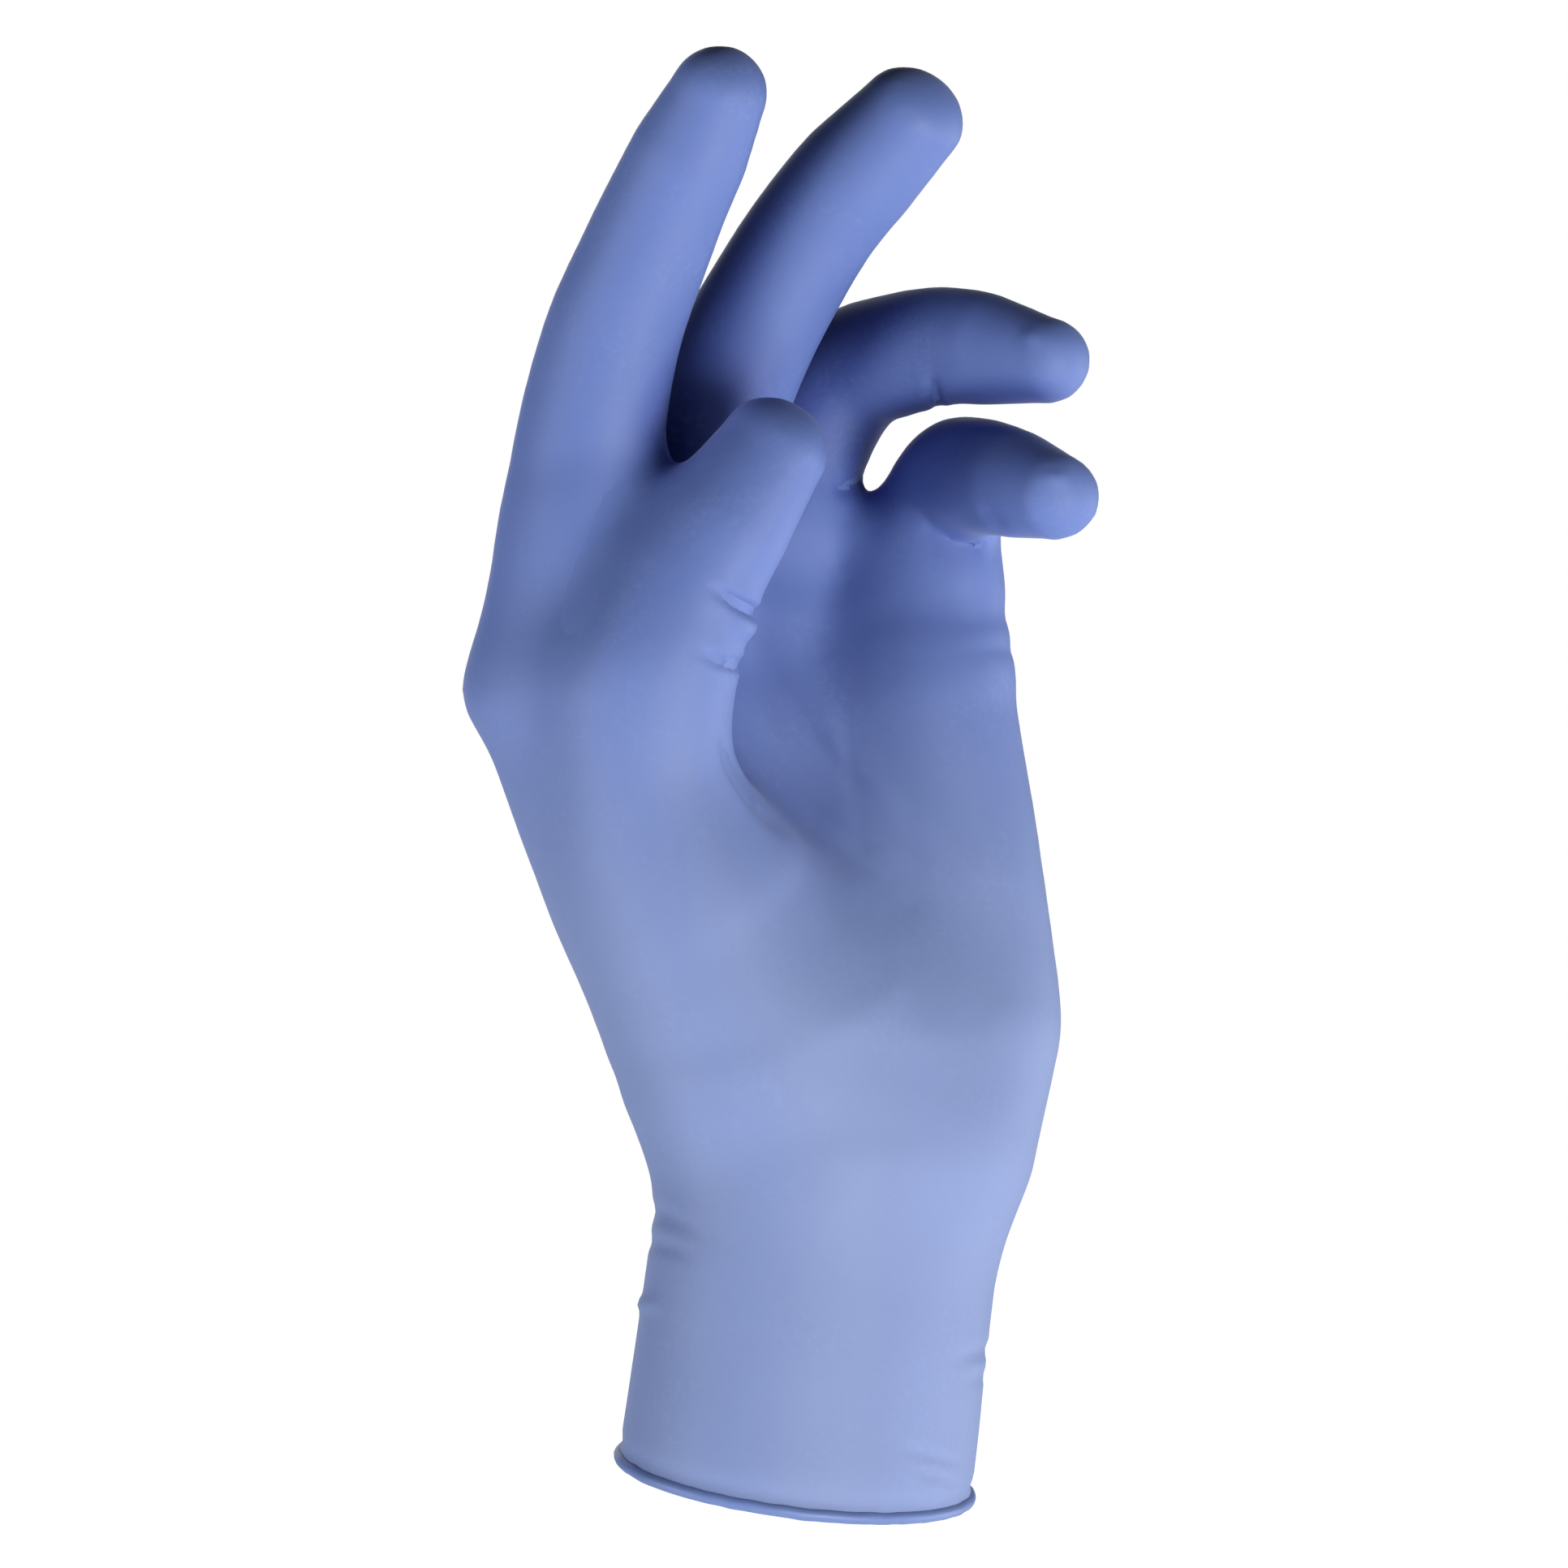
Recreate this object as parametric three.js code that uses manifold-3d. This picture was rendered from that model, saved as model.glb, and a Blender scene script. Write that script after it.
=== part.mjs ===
// A nitrile exam glove, left hand, holding the form of the hand that it was stretched over.
// It is one dipped film: a rolled bead, a cuff, a palm and back, four finger stalls and a thumb stall.
// Millimetres, +Z up along the wrist, the origin at the middle of the cuff's opening. The thumb side
// is towards -Y, the palm faces +X and -Y, and the back of the hand faces -X and +Y.
import * as THREE from "three";
import { mergeVertices } from "three/addons/utils/BufferGeometryUtils.js";
import Module from "manifold-3d";

// Driving sizes. Every table below holds shares of these.
const FILM = 1.5; // wall of the solid
const BEAD_DIAMETER = 2.6; // rolled edge round the opening
const CUFF_WIDTH = 63; // across the cuff, thumb side to little finger side
const CUFF_DEPTH = 50; // through the cuff, back to palm
const CUFF_LENGTH = 63.5; // from the opening to the root of the palm
const RIM_ROLL = 10; // degrees, the little finger side of the rim lies lower
const RIM_PITCH = 11; // degrees, the thumb side of the rim lies lower
const PALM_TURN = 45; // degrees, from +X towards -Y, the way the palm faces
const PALM_LENGTH = 74; // root of the palm to the middle knuckle
const PALM_LEAN = -20; // degrees from upright, towards +X
const PALM_REACH = -6; // degrees out of upright, towards -Y
const PALM_DEPTH = 26; // through the palm, back to front, at a knuckle bone
const KNUCKLE_SPAN = 58; // first knuckle to fourth, across the palm
const HEEL_DEPTH = 28; // through the pad below the little finger
const BALL_DEPTH = 36; // across the pad below the thumb
const WEB_DEPTH = 14; // through the web between two fingers
const CLEFT_DEPTH = 17; // through the web between thumb and forefinger
const INDEX_LENGTH = 103;
const INDEX_WIDTH = 23.2;
const MIDDLE_LENGTH = 100;
const MIDDLE_WIDTH = 22;
const RING_LENGTH = 89;
const RING_WIDTH = 20.8;
const LITTLE_LENGTH = 67;
const LITTLE_WIDTH = 19.4;
const THUMB_LENGTH = 107.5;
const THUMB_WIDTH = 24.8;
const THINNEST = 1.1; // the least wall that the facets may leave
const OUTER_STEP = 5; // spacing of the outer skin's facets, across and through
const INNER_STEP = 6; // spacing of the inner skin's facets, across and through
const BEAD_STEPS = 48;
const BEAD_SIDES = 8;

const radians = THREE.MathUtils.degToRad;

// A direction that leans from upright towards +X, and then reaches out towards -Y.
function heading(lean, reach) {
  const level = Math.cos(radians(reach));
  return new THREE.Vector3(
    Math.sin(radians(lean)) * level,
    -Math.sin(radians(reach)),
    Math.cos(radians(lean)) * level,
  );
}

// The palm's own directions: the way it faces, across it to the little finger, and along it.
const facing = new THREE.Vector3(
  Math.cos(radians(PALM_TURN)),
  -Math.sin(radians(PALM_TURN)),
  0,
);
const across = new THREE.Vector3(-facing.y, facing.x, 0);
const along = heading(PALM_LEAN, PALM_REACH);
const backOfHand = facing.clone().negate();

// The cuff's centre line, as shares of its length: sideways, away from the thumb, and up.
const CUFF_PATH = [
  { side: -0.04, away: 0, up: -0.35, half: 0.96, back: 0.97, pad: 0.97 },
  { side: 0, away: 0, up: 0, half: 1, back: 1, pad: 1 },
  { side: 0.07, away: 0, up: 0.53, half: 1, back: 0.94, pad: 0.94 },
  { side: 0.1, away: 0, up: 0.8, half: 0.98, back: 0.86, pad: 0.94 },
  { side: 0.09, away: 0.03, up: 1, half: 0.9, back: 0.78, pad: 0.84 },
];
const root = new THREE.Vector3(0.012, 0.032, 1).multiplyScalar(CUFF_LENGTH);

// A place on the palm: across it, up it and out of it, as shares of the span and the length.
function place({ over, up, out }) {
  return root
    .clone()
    .addScaledVector(across, over * KNUCKLE_SPAN)
    .addScaledVector(along, up * PALM_LENGTH)
    .addScaledVector(facing, out * KNUCKLE_SPAN);
}

// Each digit: where it starts on the palm, its bones as shares of its length with the way
// each one points, the way its back faces at each joint, and its sections as shares of half
// its width, at 0 for the knuckle, 1 and 2 for the joints and 3 for the last pad.
const DIGITS = {
  index: {
    length: INDEX_LENGTH,
    width: INDEX_WIDTH,
    start: { over: -0.393, up: 0.904, out: -0.005 },
    bones: [
      { share: 0.519, lean: 7.5, reach: 9 },
      { share: 0.301, lean: 23, reach: 17 },
      { share: 0.18, lean: 25.5, reach: 19 },
    ],
    backs: [[-0.7, 0.7, 0]],
    sections: [
      { at: 0, half: 1.06, back: 1.16, pad: 1.03 },
      { at: 0.5, half: 1.07, back: 1.03, pad: 1.07 },
      { at: 1, half: 1, back: 0.95, pad: 0.97 },
      { at: 1.5, half: 0.91, back: 0.85, pad: 0.9 },
      { at: 2, half: 0.86, back: 0.79, pad: 0.83 },
      { at: 2.6, half: 0.82, back: 0.69, pad: 0.81 },
      { at: 3, half: 0.7, back: 0.56, pad: 0.68 },
    ],
  },
  middle: {
    length: MIDDLE_LENGTH,
    width: MIDDLE_WIDTH,
    start: { over: 0, up: 1.002, out: 0.001 },
    bones: [
      { share: 0.48, lean: 17, reach: 9.5 },
      { share: 0.3, lean: 31, reach: 18 },
      { share: 0.226, lean: 43, reach: 18.5 },
    ],
    backs: [[-0.7, 0.7, 0]],
    sections: [
      { at: 0, half: 1.09, back: 1.18, pad: 1.09 },
      { at: 0.5, half: 1.05, back: 1, pad: 1.09 },
      { at: 1, half: 1, back: 0.95, pad: 1 },
      { at: 1.5, half: 0.96, back: 0.89, pad: 0.95 },
      { at: 2, half: 0.93, back: 0.85, pad: 0.89 },
      { at: 2.6, half: 0.92, back: 0.81, pad: 0.92 },
      { at: 3, half: 0.82, back: 0.68, pad: 0.8 },
    ],
  },
  ring: {
    length: RING_LENGTH,
    width: RING_WIDTH,
    start: { over: 0.335, up: 1.035, out: 0.1 },
    bones: [
      { share: 0.485, lean: 16.5, reach: -4 },
      { share: 0.286, lean: 74, reach: 38 },
      { share: 0.222, lean: 99, reach: 32 },
    ],
    backs: [[-0.8, 0.5, 0.2], [-0.5, 0.4, 0.8], [0, 0.3, 1], [0.2, 0.3, 1]],
    sections: [
      { at: 0, half: 1.1, back: 1.15, pad: 1.06 },
      { at: 0.5, half: 1.02, back: 0.98, pad: 1.02 },
      { at: 1, half: 1, back: 1.02, pad: 0.98 },
      { at: 1.5, half: 0.96, back: 0.96, pad: 0.94 },
      { at: 2, half: 0.94, back: 0.92, pad: 0.9 },
      { at: 2.6, half: 0.9, back: 0.79, pad: 0.88 },
      { at: 3, half: 0.73, back: 0.6, pad: 0.71 },
    ],
  },
  little: {
    length: LITTLE_LENGTH,
    width: LITTLE_WIDTH,
    start: { over: 0.6, up: 0.968, out: 0.38 },
    bones: [
      { share: 0.45, lean: 15.5, reach: 3.5 },
      { share: 0.286, lean: 82.5, reach: 68 },
      { share: 0.264, lean: 107, reach: 53 },
    ],
    backs: [[-0.8, 0.6, 0.2], [-0.5, 0.6, 0.8], [0, 0.5, 1], [0.2, 0.5, 1]],
    sections: [
      { at: 0, half: 1.16, back: 1.21, pad: 1.26 },
      { at: 0.5, half: 1.07, back: 1.08, pad: 1.14 },
      { at: 1, half: 0.99, back: 1.1, pad: 0.99 },
      { at: 1.5, half: 0.97, back: 1.02, pad: 0.95 },
      { at: 2, half: 0.97, back: 0.91, pad: 0.93 },
      { at: 2.6, half: 0.91, back: 0.8, pad: 0.88 },
      { at: 3, half: 0.76, back: 0.65, pad: 0.76 },
    ],
  },
  thumb: {
    length: THUMB_LENGTH,
    width: THUMB_WIDTH,
    start: { over: -0.33, up: 0.04, out: 0.06 },
    bones: [
      { share: 0.491, lean: -18, reach: 9 },
      { share: 0.294, lean: 21, reach: 5 },
      { share: 0.215, lean: 33, reach: 0 },
    ],
    backs: [[-0.8, -0.6, 0.2], [-0.8, -0.6, 0.2], [-0.6, -0.7, 0.3], [-0.5, -0.7, 0.4]],
    sections: [
      { at: 0, half: 1.12, back: 1.05, pad: 1.1 },
      { at: 0.5, half: 1.16, back: 1.05, pad: 0.92 },
      { at: 1, half: 1, back: 1, pad: 0.86 },
      { at: 1.5, half: 0.95, back: 0.93, pad: 0.86 },
      { at: 2, half: 0.94, back: 0.87, pad: 0.85 },
      { at: 2.5, half: 0.92, back: 0.76, pad: 0.81 },
      { at: 3, half: 0.76, back: 0.58, pad: 0.69 },
    ],
  },
};
const FINGER_CAP = 0.62; // length of a round tip, as a share of the digit's half width

// The knuckle bones: where each starts across the root of the palm, and how far its middle
// swells to the thumb side.
const RAYS = [
  { digit: "index", root: -0.2, swell: -0.045, half: 0.96, back: 1.04, pad: 1 },
  { digit: "middle", root: -0.08, swell: 0, half: 0.92, back: 1, pad: 1.1 },
  { digit: "ring", root: 0.08, swell: 0, half: 0.88, back: 0.92, pad: 1.15 },
  { digit: "little", root: 0.2, swell: 0, half: 0.85, back: 0.88, pad: 0.96 },
];
const RAY_ARCH = 0.05; // rise of a bone's middle towards the back, as a share of the span

// The pads of the palm: centre line places and sections as shares of the pad's depth.
const HEEL = [
  { over: 0.31, up: -0.08, out: 0.18, half: 0.44, back: 0.46, pad: 0.45 },
  { over: 0.46, up: 0.13, out: 0.31, half: 0.45, back: 0.5, pad: 0.48 },
  { over: 0.54, up: 0.47, out: 0.41, half: 0.41, back: 0.5, pad: 0.43 },
  { over: 0.6, up: 0.85, out: 0.43, half: 0.4, back: 0.43, pad: 0.38 },
];
const BALL = [
  { over: -0.13, up: -0.05, out: 0.05, half: 0.38, back: 0.34, pad: 0.42 },
  { over: -0.15, up: 0.16, out: 0.18, half: 0.48, back: 0.44, pad: 0.46 },
  { over: -0.29, up: 0.4, out: 0.24, half: 0.36, back: 0.37, pad: 0.33 },
];

// The webs between neighbouring fingers, and how far up each first bone they reach.
const WEBS = [
  { from: "index", fromAt: 0.46, to: "middle", toAt: 0.46 },
  { from: "middle", fromAt: 0.4, to: "ring", toAt: 0.4 },
  { from: "ring", fromAt: 0.4, to: "little", toAt: 0.55 },
];
const WEB_FOOT = 0.1;

// The two sheets of the web between thumb and forefinger.
const CLEFT = {
  palm: { over: -0.28, up: 0.36, out: 0.12 },
  thumb: { over: -0.42, up: 0.95, out: 0.36 },
  knuckle: { over: -0.38, up: 0.94, out: 0.08 },
  finger: { over: -0.3, up: 1.3, out: 0.36 },
};

// How far two forms run into each other where they meet.
const BLEND = { bones: 9, cuff: 14, pads: 20, webs: 7, cleft: 12, thumb: 12, fingers: 2.5, knuckles: 7 };

function blend(a, b, width) {
  const near = Math.max(width - Math.abs(a - b), 0) / width;
  return Math.min(a, b) - near * near * width * 0.25;
}

function readTable(rows, column, at) {
  let i = 0;
  while (i < rows.length - 2 && rows[i + 1].at < at) i += 1;
  const [low, high] = [rows[i], rows[i + 1]];
  const share = Math.min(Math.max((at - low.at) / (high.at - low.at), 0), 1);
  return low[column] + (high[column] - low[column]) * share;
}

const CORNER = 0.4; // share of a bone that its rounded joint takes up
const JOINT_STEPS = 6;

// A centre line through the joints, straight along each bone and rounded at each joint.
function centreLine(joints) {
  const line = [{ at: 0, point: joints[0] }];
  for (let i = 1; i < joints.length - 1; i += 1) {
    const before = joints[i].clone().lerp(joints[i - 1], CORNER);
    const after = joints[i].clone().lerp(joints[i + 1], CORNER);
    const bend = new THREE.QuadraticBezierCurve3(before, joints[i], after);
    for (let s = 0; s <= JOINT_STEPS; s += 1) {
      const t = s / JOINT_STEPS;
      line.push({ at: i - CORNER + 2 * CORNER * t, point: bend.getPoint(t) });
    }
  }
  line.push({ at: joints.length - 1, point: joints[joints.length - 1] });
  return line;
}

// Past this distance a form no longer touches the others.
const REACH = Math.max(...Object.values(BLEND)) * 1.2;

// The distance to a limb whose section is an oval with its own back, pad and half width.
function limb(joints, sections, backs, cap) {
  const line = centreLine(joints);
  const rows = line.map(({ at, point }, i) => {
    const ahead = line[Math.min(i + 1, line.length - 1)].point;
    const behind = line[Math.max(i - 1, 0)].point;
    const run = ahead.clone().sub(behind).normalize();
    const turn = Math.min(at, backs.length - 1);
    const low = new THREE.Vector3(...backs[Math.floor(turn)]);
    const high = new THREE.Vector3(...backs[Math.ceil(turn)]);
    const back = low.lerp(high, turn - Math.floor(turn));
    back.addScaledVector(run, -back.dot(run)).normalize();
    return {
      point,
      run,
      back,
      side: run.clone().cross(back),
      half: readTable(sections, "half", at),
      rear: readTable(sections, "back", at),
      pad: readTable(sections, "pad", at),
    };
  });
  const widest = Math.max(...rows.map((row) => Math.max(row.half, row.rear, row.pad)));
  const room = new THREE.Box3().setFromPoints(line.map((row) => row.point)).expandByScalar(widest + REACH);
  return (p) => {
    if (!room.containsPoint(p)) return REACH + room.distanceToPoint(p);
    let best = Infinity;
    let index = 0;
    let share = 0;
    for (let i = 0; i < rows.length - 1; i += 1) {
      const a = rows[i].point;
      const b = rows[i + 1].point;
      const [dx, dy, dz] = [b.x - a.x, b.y - a.y, b.z - a.z];
      const [px, py, pz] = [p.x - a.x, p.y - a.y, p.z - a.z];
      const t = Math.min(Math.max((px * dx + py * dy + pz * dz) / (dx * dx + dy * dy + dz * dz), 0), 1);
      const gap = (px - t * dx) ** 2 + (py - t * dy) ** 2 + (pz - t * dz) ** 2;
      if (gap < best) {
        best = gap;
        index = i;
        share = t;
      }
    }
    const a = rows[index];
    const b = rows[index + 1];
    const mix = (one, two) => one + (two - one) * share;
    const away = new THREE.Vector3().lerpVectors(a.point, b.point, share).sub(p).negate();
    const dot = (name) =>
      away.x * mix(a[name].x, b[name].x) + away.y * mix(a[name].y, b[name].y) + away.z * mix(a[name].z, b[name].z);
    const rise = dot("back");
    const half = mix(a.half, b.half);
    const depth = rise > 0 ? mix(a.rear, b.rear) : mix(a.pad, b.pad);
    return ovalDistance([dot("side"), rise, dot("run")], [half, depth, cap]);
  };
}

function ovalDistance(parts, radii) {
  const near = Math.hypot(...parts.map((v, i) => v / radii[i])) + 1e-9;
  const steep = Math.hypot(...parts.map((v, i) => v / radii[i] ** 2)) + 1e-9;
  return (near * (near - 1)) / steep;
}

// The distance to a flat web, rounded at its rim, between three points.
function sheet(a, b, c, radius) {
  const triangle = new THREE.Triangle(a, b, c);
  const nearest = new THREE.Vector3();
  return (p) => triangle.closestPointToPoint(p, nearest).distanceTo(p) - radius;
}

// One limb from a table of sections given as shares of a size.
function scaled(rows, size) {
  return rows.map((row, i) => ({
    at: row.at ?? i,
    half: row.half * size,
    back: row.back * size,
    pad: row.pad * size,
  }));
}

function digitJoints({ start, bones, length }) {
  const joints = [place(start)];
  for (const bone of bones) {
    const last = joints[joints.length - 1];
    joints.push(last.clone().addScaledVector(heading(bone.lean, bone.reach), bone.share * length));
  }
  return joints;
}

function digitForm(digit) {
  const half = digit.width / 2;
  return limb(digitJoints(digit), scaled(digit.sections, half), digit.backs, FINGER_CAP * half);
}

function padForm(rows, depth) {
  return limb(rows.map(place), scaled(rows, depth), [backOfHand.toArray()], depth * 0.32);
}

function cuffForm() {
  const joints = CUFF_PATH.map((row) => new THREE.Vector3(row.side, row.away, row.up).multiplyScalar(CUFF_LENGTH));
  const sections = CUFF_PATH.map((row, i) => ({
    at: i,
    half: (row.half * CUFF_WIDTH) / 2,
    back: (row.back * CUFF_DEPTH) / 2,
    pad: (row.pad * CUFF_DEPTH) / 2,
  }));
  return limb(joints, sections, [backOfHand.toArray()], CUFF_DEPTH * 0.2);
}

function rayForm(ray) {
  const foot = root.clone().addScaledVector(across, ray.root * KNUCKLE_SPAN);
  const head = place(DIGITS[ray.digit].start);
  const middle = foot
    .clone()
    .lerp(head, 0.5)
    .addScaledVector(facing, -RAY_ARCH * KNUCKLE_SPAN)
    .addScaledVector(across, ray.swell * KNUCKLE_SPAN);
  const rows = [
    { half: 1, back: 1, pad: 1.08 },
    { half: 1, back: 1.1, pad: 1.3 },
    { half: ray.half, back: ray.back, pad: ray.pad },
  ];
  return limb([foot, middle, head], scaled(rows, PALM_DEPTH / 2), [backOfHand.toArray()], PALM_DEPTH * 0.36);
}

function onFirstBone(name, share) {
  const [knuckle, joint] = digitJoints(DIGITS[name]);
  return knuckle.lerp(joint, share);
}

function webForm({ from, fromAt, to, toAt }) {
  const foot = onFirstBone(from, WEB_FOOT).lerp(onFirstBone(to, WEB_FOOT), 0.5);
  return sheet(onFirstBone(from, fromAt), onFirstBone(to, toAt), foot, WEB_DEPTH / 2);
}

// The whole hand form: negative inside, and close to a true distance near its skin.
function handForm() {
  const bones = RAYS.map(rayForm);
  const pads = [padForm(HEEL, HEEL_DEPTH), padForm(BALL, BALL_DEPTH)];
  const cuff = cuffForm();
  const webs = WEBS.map(webForm);
  const corners = Object.fromEntries(Object.entries(CLEFT).map(([name, row]) => [name, place(row)]));
  const clefts = [
    sheet(corners.palm, corners.thumb, corners.knuckle, CLEFT_DEPTH / 2),
    sheet(corners.knuckle, corners.thumb, corners.finger, CLEFT_DEPTH / 2),
  ];
  const thumb = digitForm(DIGITS.thumb);
  const fingers = ["index", "middle", "ring", "little"].map((name) => digitForm(DIGITS[name]));
  return (p) => {
    let skin = bones.map((form) => form(p)).reduce((a, b) => blend(a, b, BLEND.bones));
    skin = blend(skin, cuff(p), BLEND.cuff);
    for (const form of pads) skin = blend(skin, form(p), BLEND.pads);
    for (const form of webs) skin = blend(skin, form(p), BLEND.webs);
    for (const form of clefts) skin = blend(skin, form(p), BLEND.cleft);
    skin = blend(skin, thumb(p), BLEND.thumb);
    const stalls = fingers.map((form) => form(p)).reduce((a, b) => blend(a, b, BLEND.fingers));
    return blend(skin, stalls, BLEND.knuckles);
  };
}

// The eight corners of a grid cell, by bits for X, Y and Z, its twelve edges and its six faces.
const CORNERS = [...Array(8).keys()];
const EDGES = CORNERS.flatMap((a) => [1, 2, 4].filter((bit) => !(a & bit)).map((bit) => [a, a | bit]));
const FACES = [1, 2, 4].flatMap((bit) =>
  [0, bit].map((side) => CORNERS.filter((corner) => (corner & bit) === side)),
);

// The patches of skin in a cell: which of them each cut edge belongs to, for each of the 256
// ways in which its corners lie inside or outside. Inside corners across a face stay apart.
function patchesOf(inside) {
  const cut = EDGES.map(([a, b]) => inside[a] !== inside[b]);
  const group = EDGES.map((_, i) => i);
  const find = (i) => (group[i] === i ? i : find(group[i]));
  for (const face of FACES) {
    const onFace = EDGES.map((_, i) => i).filter(
      (i) => cut[i] && face.includes(EDGES[i][0]) && face.includes(EDGES[i][1]),
    );
    for (const i of onFace) {
      for (const j of onFace) {
        const core = EDGES[i].find((corner) => inside[corner]);
        if (onFace.length === 2 || EDGES[j].includes(core)) group[find(i)] = find(j);
      }
    }
  }
  return EDGES.map((_, i) => (cut[i] ? find(i) : -1));
}
const PATCHES = [...Array(256).keys()].map((code) =>
  patchesOf(CORNERS.map((corner) => ((code >> corner) & 1) === 1)),
);

const NUDGE = 0.05;
const SETTLE_STEPS = 4;
const CELL_MARGIN = 0.25; // keeps the points of neighbouring cells apart

// Moves a point along the form's slope until it lies on the skin, inside its own cell.
function settle(form, point, cell) {
  const probe = new THREE.Vector3();
  for (let i = 0; i < SETTLE_STEPS; i += 1) {
    const value = form(point);
    const slope = ["x", "y", "z"].map((axis) => {
      probe.copy(point)[axis] += NUDGE;
      return (form(probe) - value) / NUDGE;
    });
    const steep = Math.max(slope[0] ** 2 + slope[1] ** 2 + slope[2] ** 2, 0.2);
    point.add(new THREE.Vector3(...slope).multiplyScalar(-value / steep));
    cell.clampPoint(point, point);
  }
  return point;
}

// A closed mesh of the form's skin: one point for each patch in each grid cell that the skin
// passes through, and one quad round each grid edge that it cuts.
function skinMesh(form, [xs, ys, zs]) {
  const [nx, ny, nz] = [xs.length, ys.length, zs.length];
  const values = new Float64Array(nx * ny * nz);
  const index = (i, j, k) => i + nx * (j + ny * k);
  const node = (i, j, k) => new THREE.Vector3(xs[i], ys[j], zs[k]);
  for (let k = 0; k < nz; k += 1) {
    for (let j = 0; j < ny; j += 1) {
      for (let i = 0; i < nx; i += 1) values[index(i, j, k)] = form(node(i, j, k));
    }
  }
  const points = [];
  const cells = new Map();
  for (let k = 0; k < nz - 1; k += 1) {
    for (let j = 0; j < ny - 1; j += 1) {
      for (let i = 0; i < nx - 1; i += 1) {
        const at = CORNERS.map((c) => values[index(i + (c & 1), j + ((c >> 1) & 1), k + (c >> 2))]);
        const code = at.reduce((sum, value, corner) => sum + (value < 0 ? 1 << corner : 0), 0);
        if (code === 0 || code === 255) continue;
        const cell = new THREE.Box3(node(i, j, k), node(i + 1, j + 1, k + 1));
        const size = cell.getSize(new THREE.Vector3());
        const sums = new Map();
        PATCHES[code].forEach((patch, e) => {
          if (patch < 0) return;
          const [a, b] = EDGES[e];
          const t = at[a] / (at[a] - at[b]);
          const ends = [a, b].map((c) => new THREE.Vector3(c & 1, (c >> 1) & 1, c >> 2));
          const sum = sums.get(patch) ?? { point: new THREE.Vector3(), total: 0 };
          sum.point.add(ends[0].lerp(ends[1], t));
          sum.total += 1;
          sums.set(patch, sum);
        });
        const ids = new Map();
        for (const [patch, { point, total }] of sums) {
          point.divideScalar(total).multiply(size).add(cell.min);
          ids.set(patch, points.length);
          points.push(settle(form, point, cell.clone().expandByScalar(-CELL_MARGIN)));
        }
        cells.set(index(i, j, k), PATCHES[code].map((patch) => ids.get(patch)));
      }
    }
  }
  const triangles = [];
  const edgeOf = (a, b) => EDGES.findIndex((edge) => edge[0] === a && edge[1] === b);
  for (let k = 1; k < nz - 1; k += 1) {
    for (let j = 1; j < ny - 1; j += 1) {
      for (let i = 1; i < nx - 1; i += 1) {
        for (let axis = 0; axis < 3; axis += 1) {
          const start = values[index(i, j, k)] < 0;
          const ahead = [i, j, k];
          ahead[axis] += 1;
          if (start === values[index(...ahead)] < 0) continue;
          const [u, v] = [(axis + 1) % 3, (axis + 2) % 3];
          const ring = [[0, 0], [1, 0], [1, 1], [0, 1]].map(([du, dv]) => {
            const cell = [i, j, k];
            cell[u] -= du;
            cell[v] -= dv;
            const low = (du << u) | (dv << v);
            return cells.get(index(...cell))[edgeOf(low, low | (1 << axis))];
          });
          if (!start) ring.reverse();
          const [a, b, c, d] = ring;
          const short = points[a].distanceToSquared(points[c]) <= points[b].distanceToSquared(points[d]);
          triangles.push(...(short ? [a, b, c, a, c, d] : [b, c, d, b, d, a]));
        }
      }
    }
  }
  return new THREE.BufferGeometry()
    .setAttribute("position", new THREE.Float32BufferAttribute(points.flatMap((p) => p.toArray()), 3))
    .setIndex(triangles);
}

const wasm = await Module();
wasm.setup();

function toSolid(geometry) {
  const bare = geometry.clone();
  bare.deleteAttribute("normal");
  bare.deleteAttribute("uv");
  const merged = mergeVertices(bare, 1e-4);
  return new wasm.Manifold(
    new wasm.Mesh({
      numProp: 3,
      vertProperties: new Float32Array(merged.attributes.position.array),
      triVerts: new Uint32Array(merged.index.array),
    }),
  );
}

function toGeometry(solid) {
  const { vertProperties, triVerts } = solid.getMesh();
  const geometry = new THREE.BufferGeometry();
  geometry.setAttribute("position", new THREE.Float32BufferAttribute(vertProperties, 3));
  geometry.setIndex(new THREE.Uint32BufferAttribute(triVerts, 1));
  geometry.computeVertexNormals();
  return geometry;
}

// The rim lies in a plane through the origin that is rolled and pitched.
const rimTurn = new THREE.Quaternion().setFromEuler(
  new THREE.Euler(radians(RIM_PITCH), radians(RIM_ROLL), 0, "YXZ"),
);

// All that lies below the rim, to cut the cuff open.
function belowRim() {
  const size = CUFF_WIDTH * 2;
  const block = new THREE.BoxGeometry(size, size, size).translate(0, 0, -size / 2);
  return block.applyQuaternion(rimTurn);
}

// The rolled edge: a round cord of film that follows the middle of the wall at the rim.
function beadGeometry(form) {
  const points = [];
  for (let i = 0; i < BEAD_STEPS; i += 1) {
    const angle = (2 * Math.PI * i) / BEAD_STEPS;
    const out = new THREE.Vector3(Math.cos(angle), Math.sin(angle), 0).applyQuaternion(rimTurn);
    let near = 0;
    let far = CUFF_WIDTH;
    while (far - near > 1e-4) {
      const middle = (near + far) / 2;
      if (form(out.clone().multiplyScalar(middle)) < -FILM / 2) near = middle;
      else far = middle;
    }
    points.push(out.multiplyScalar(near));
  }
  const curve = new THREE.CatmullRomCurve3(points, true);
  return new THREE.TubeGeometry(curve, BEAD_STEPS, BEAD_DIAMETER / 2, BEAD_SIDES, true);
}

// Even steps from one value to another, none longer than the step given.
function stepsBetween(from, to, step) {
  const count = Math.max(Math.ceil((to - from) / step), 1);
  return [...Array(count).keys()].map((i) => from + ((to - from) * i) / count);
}

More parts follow.
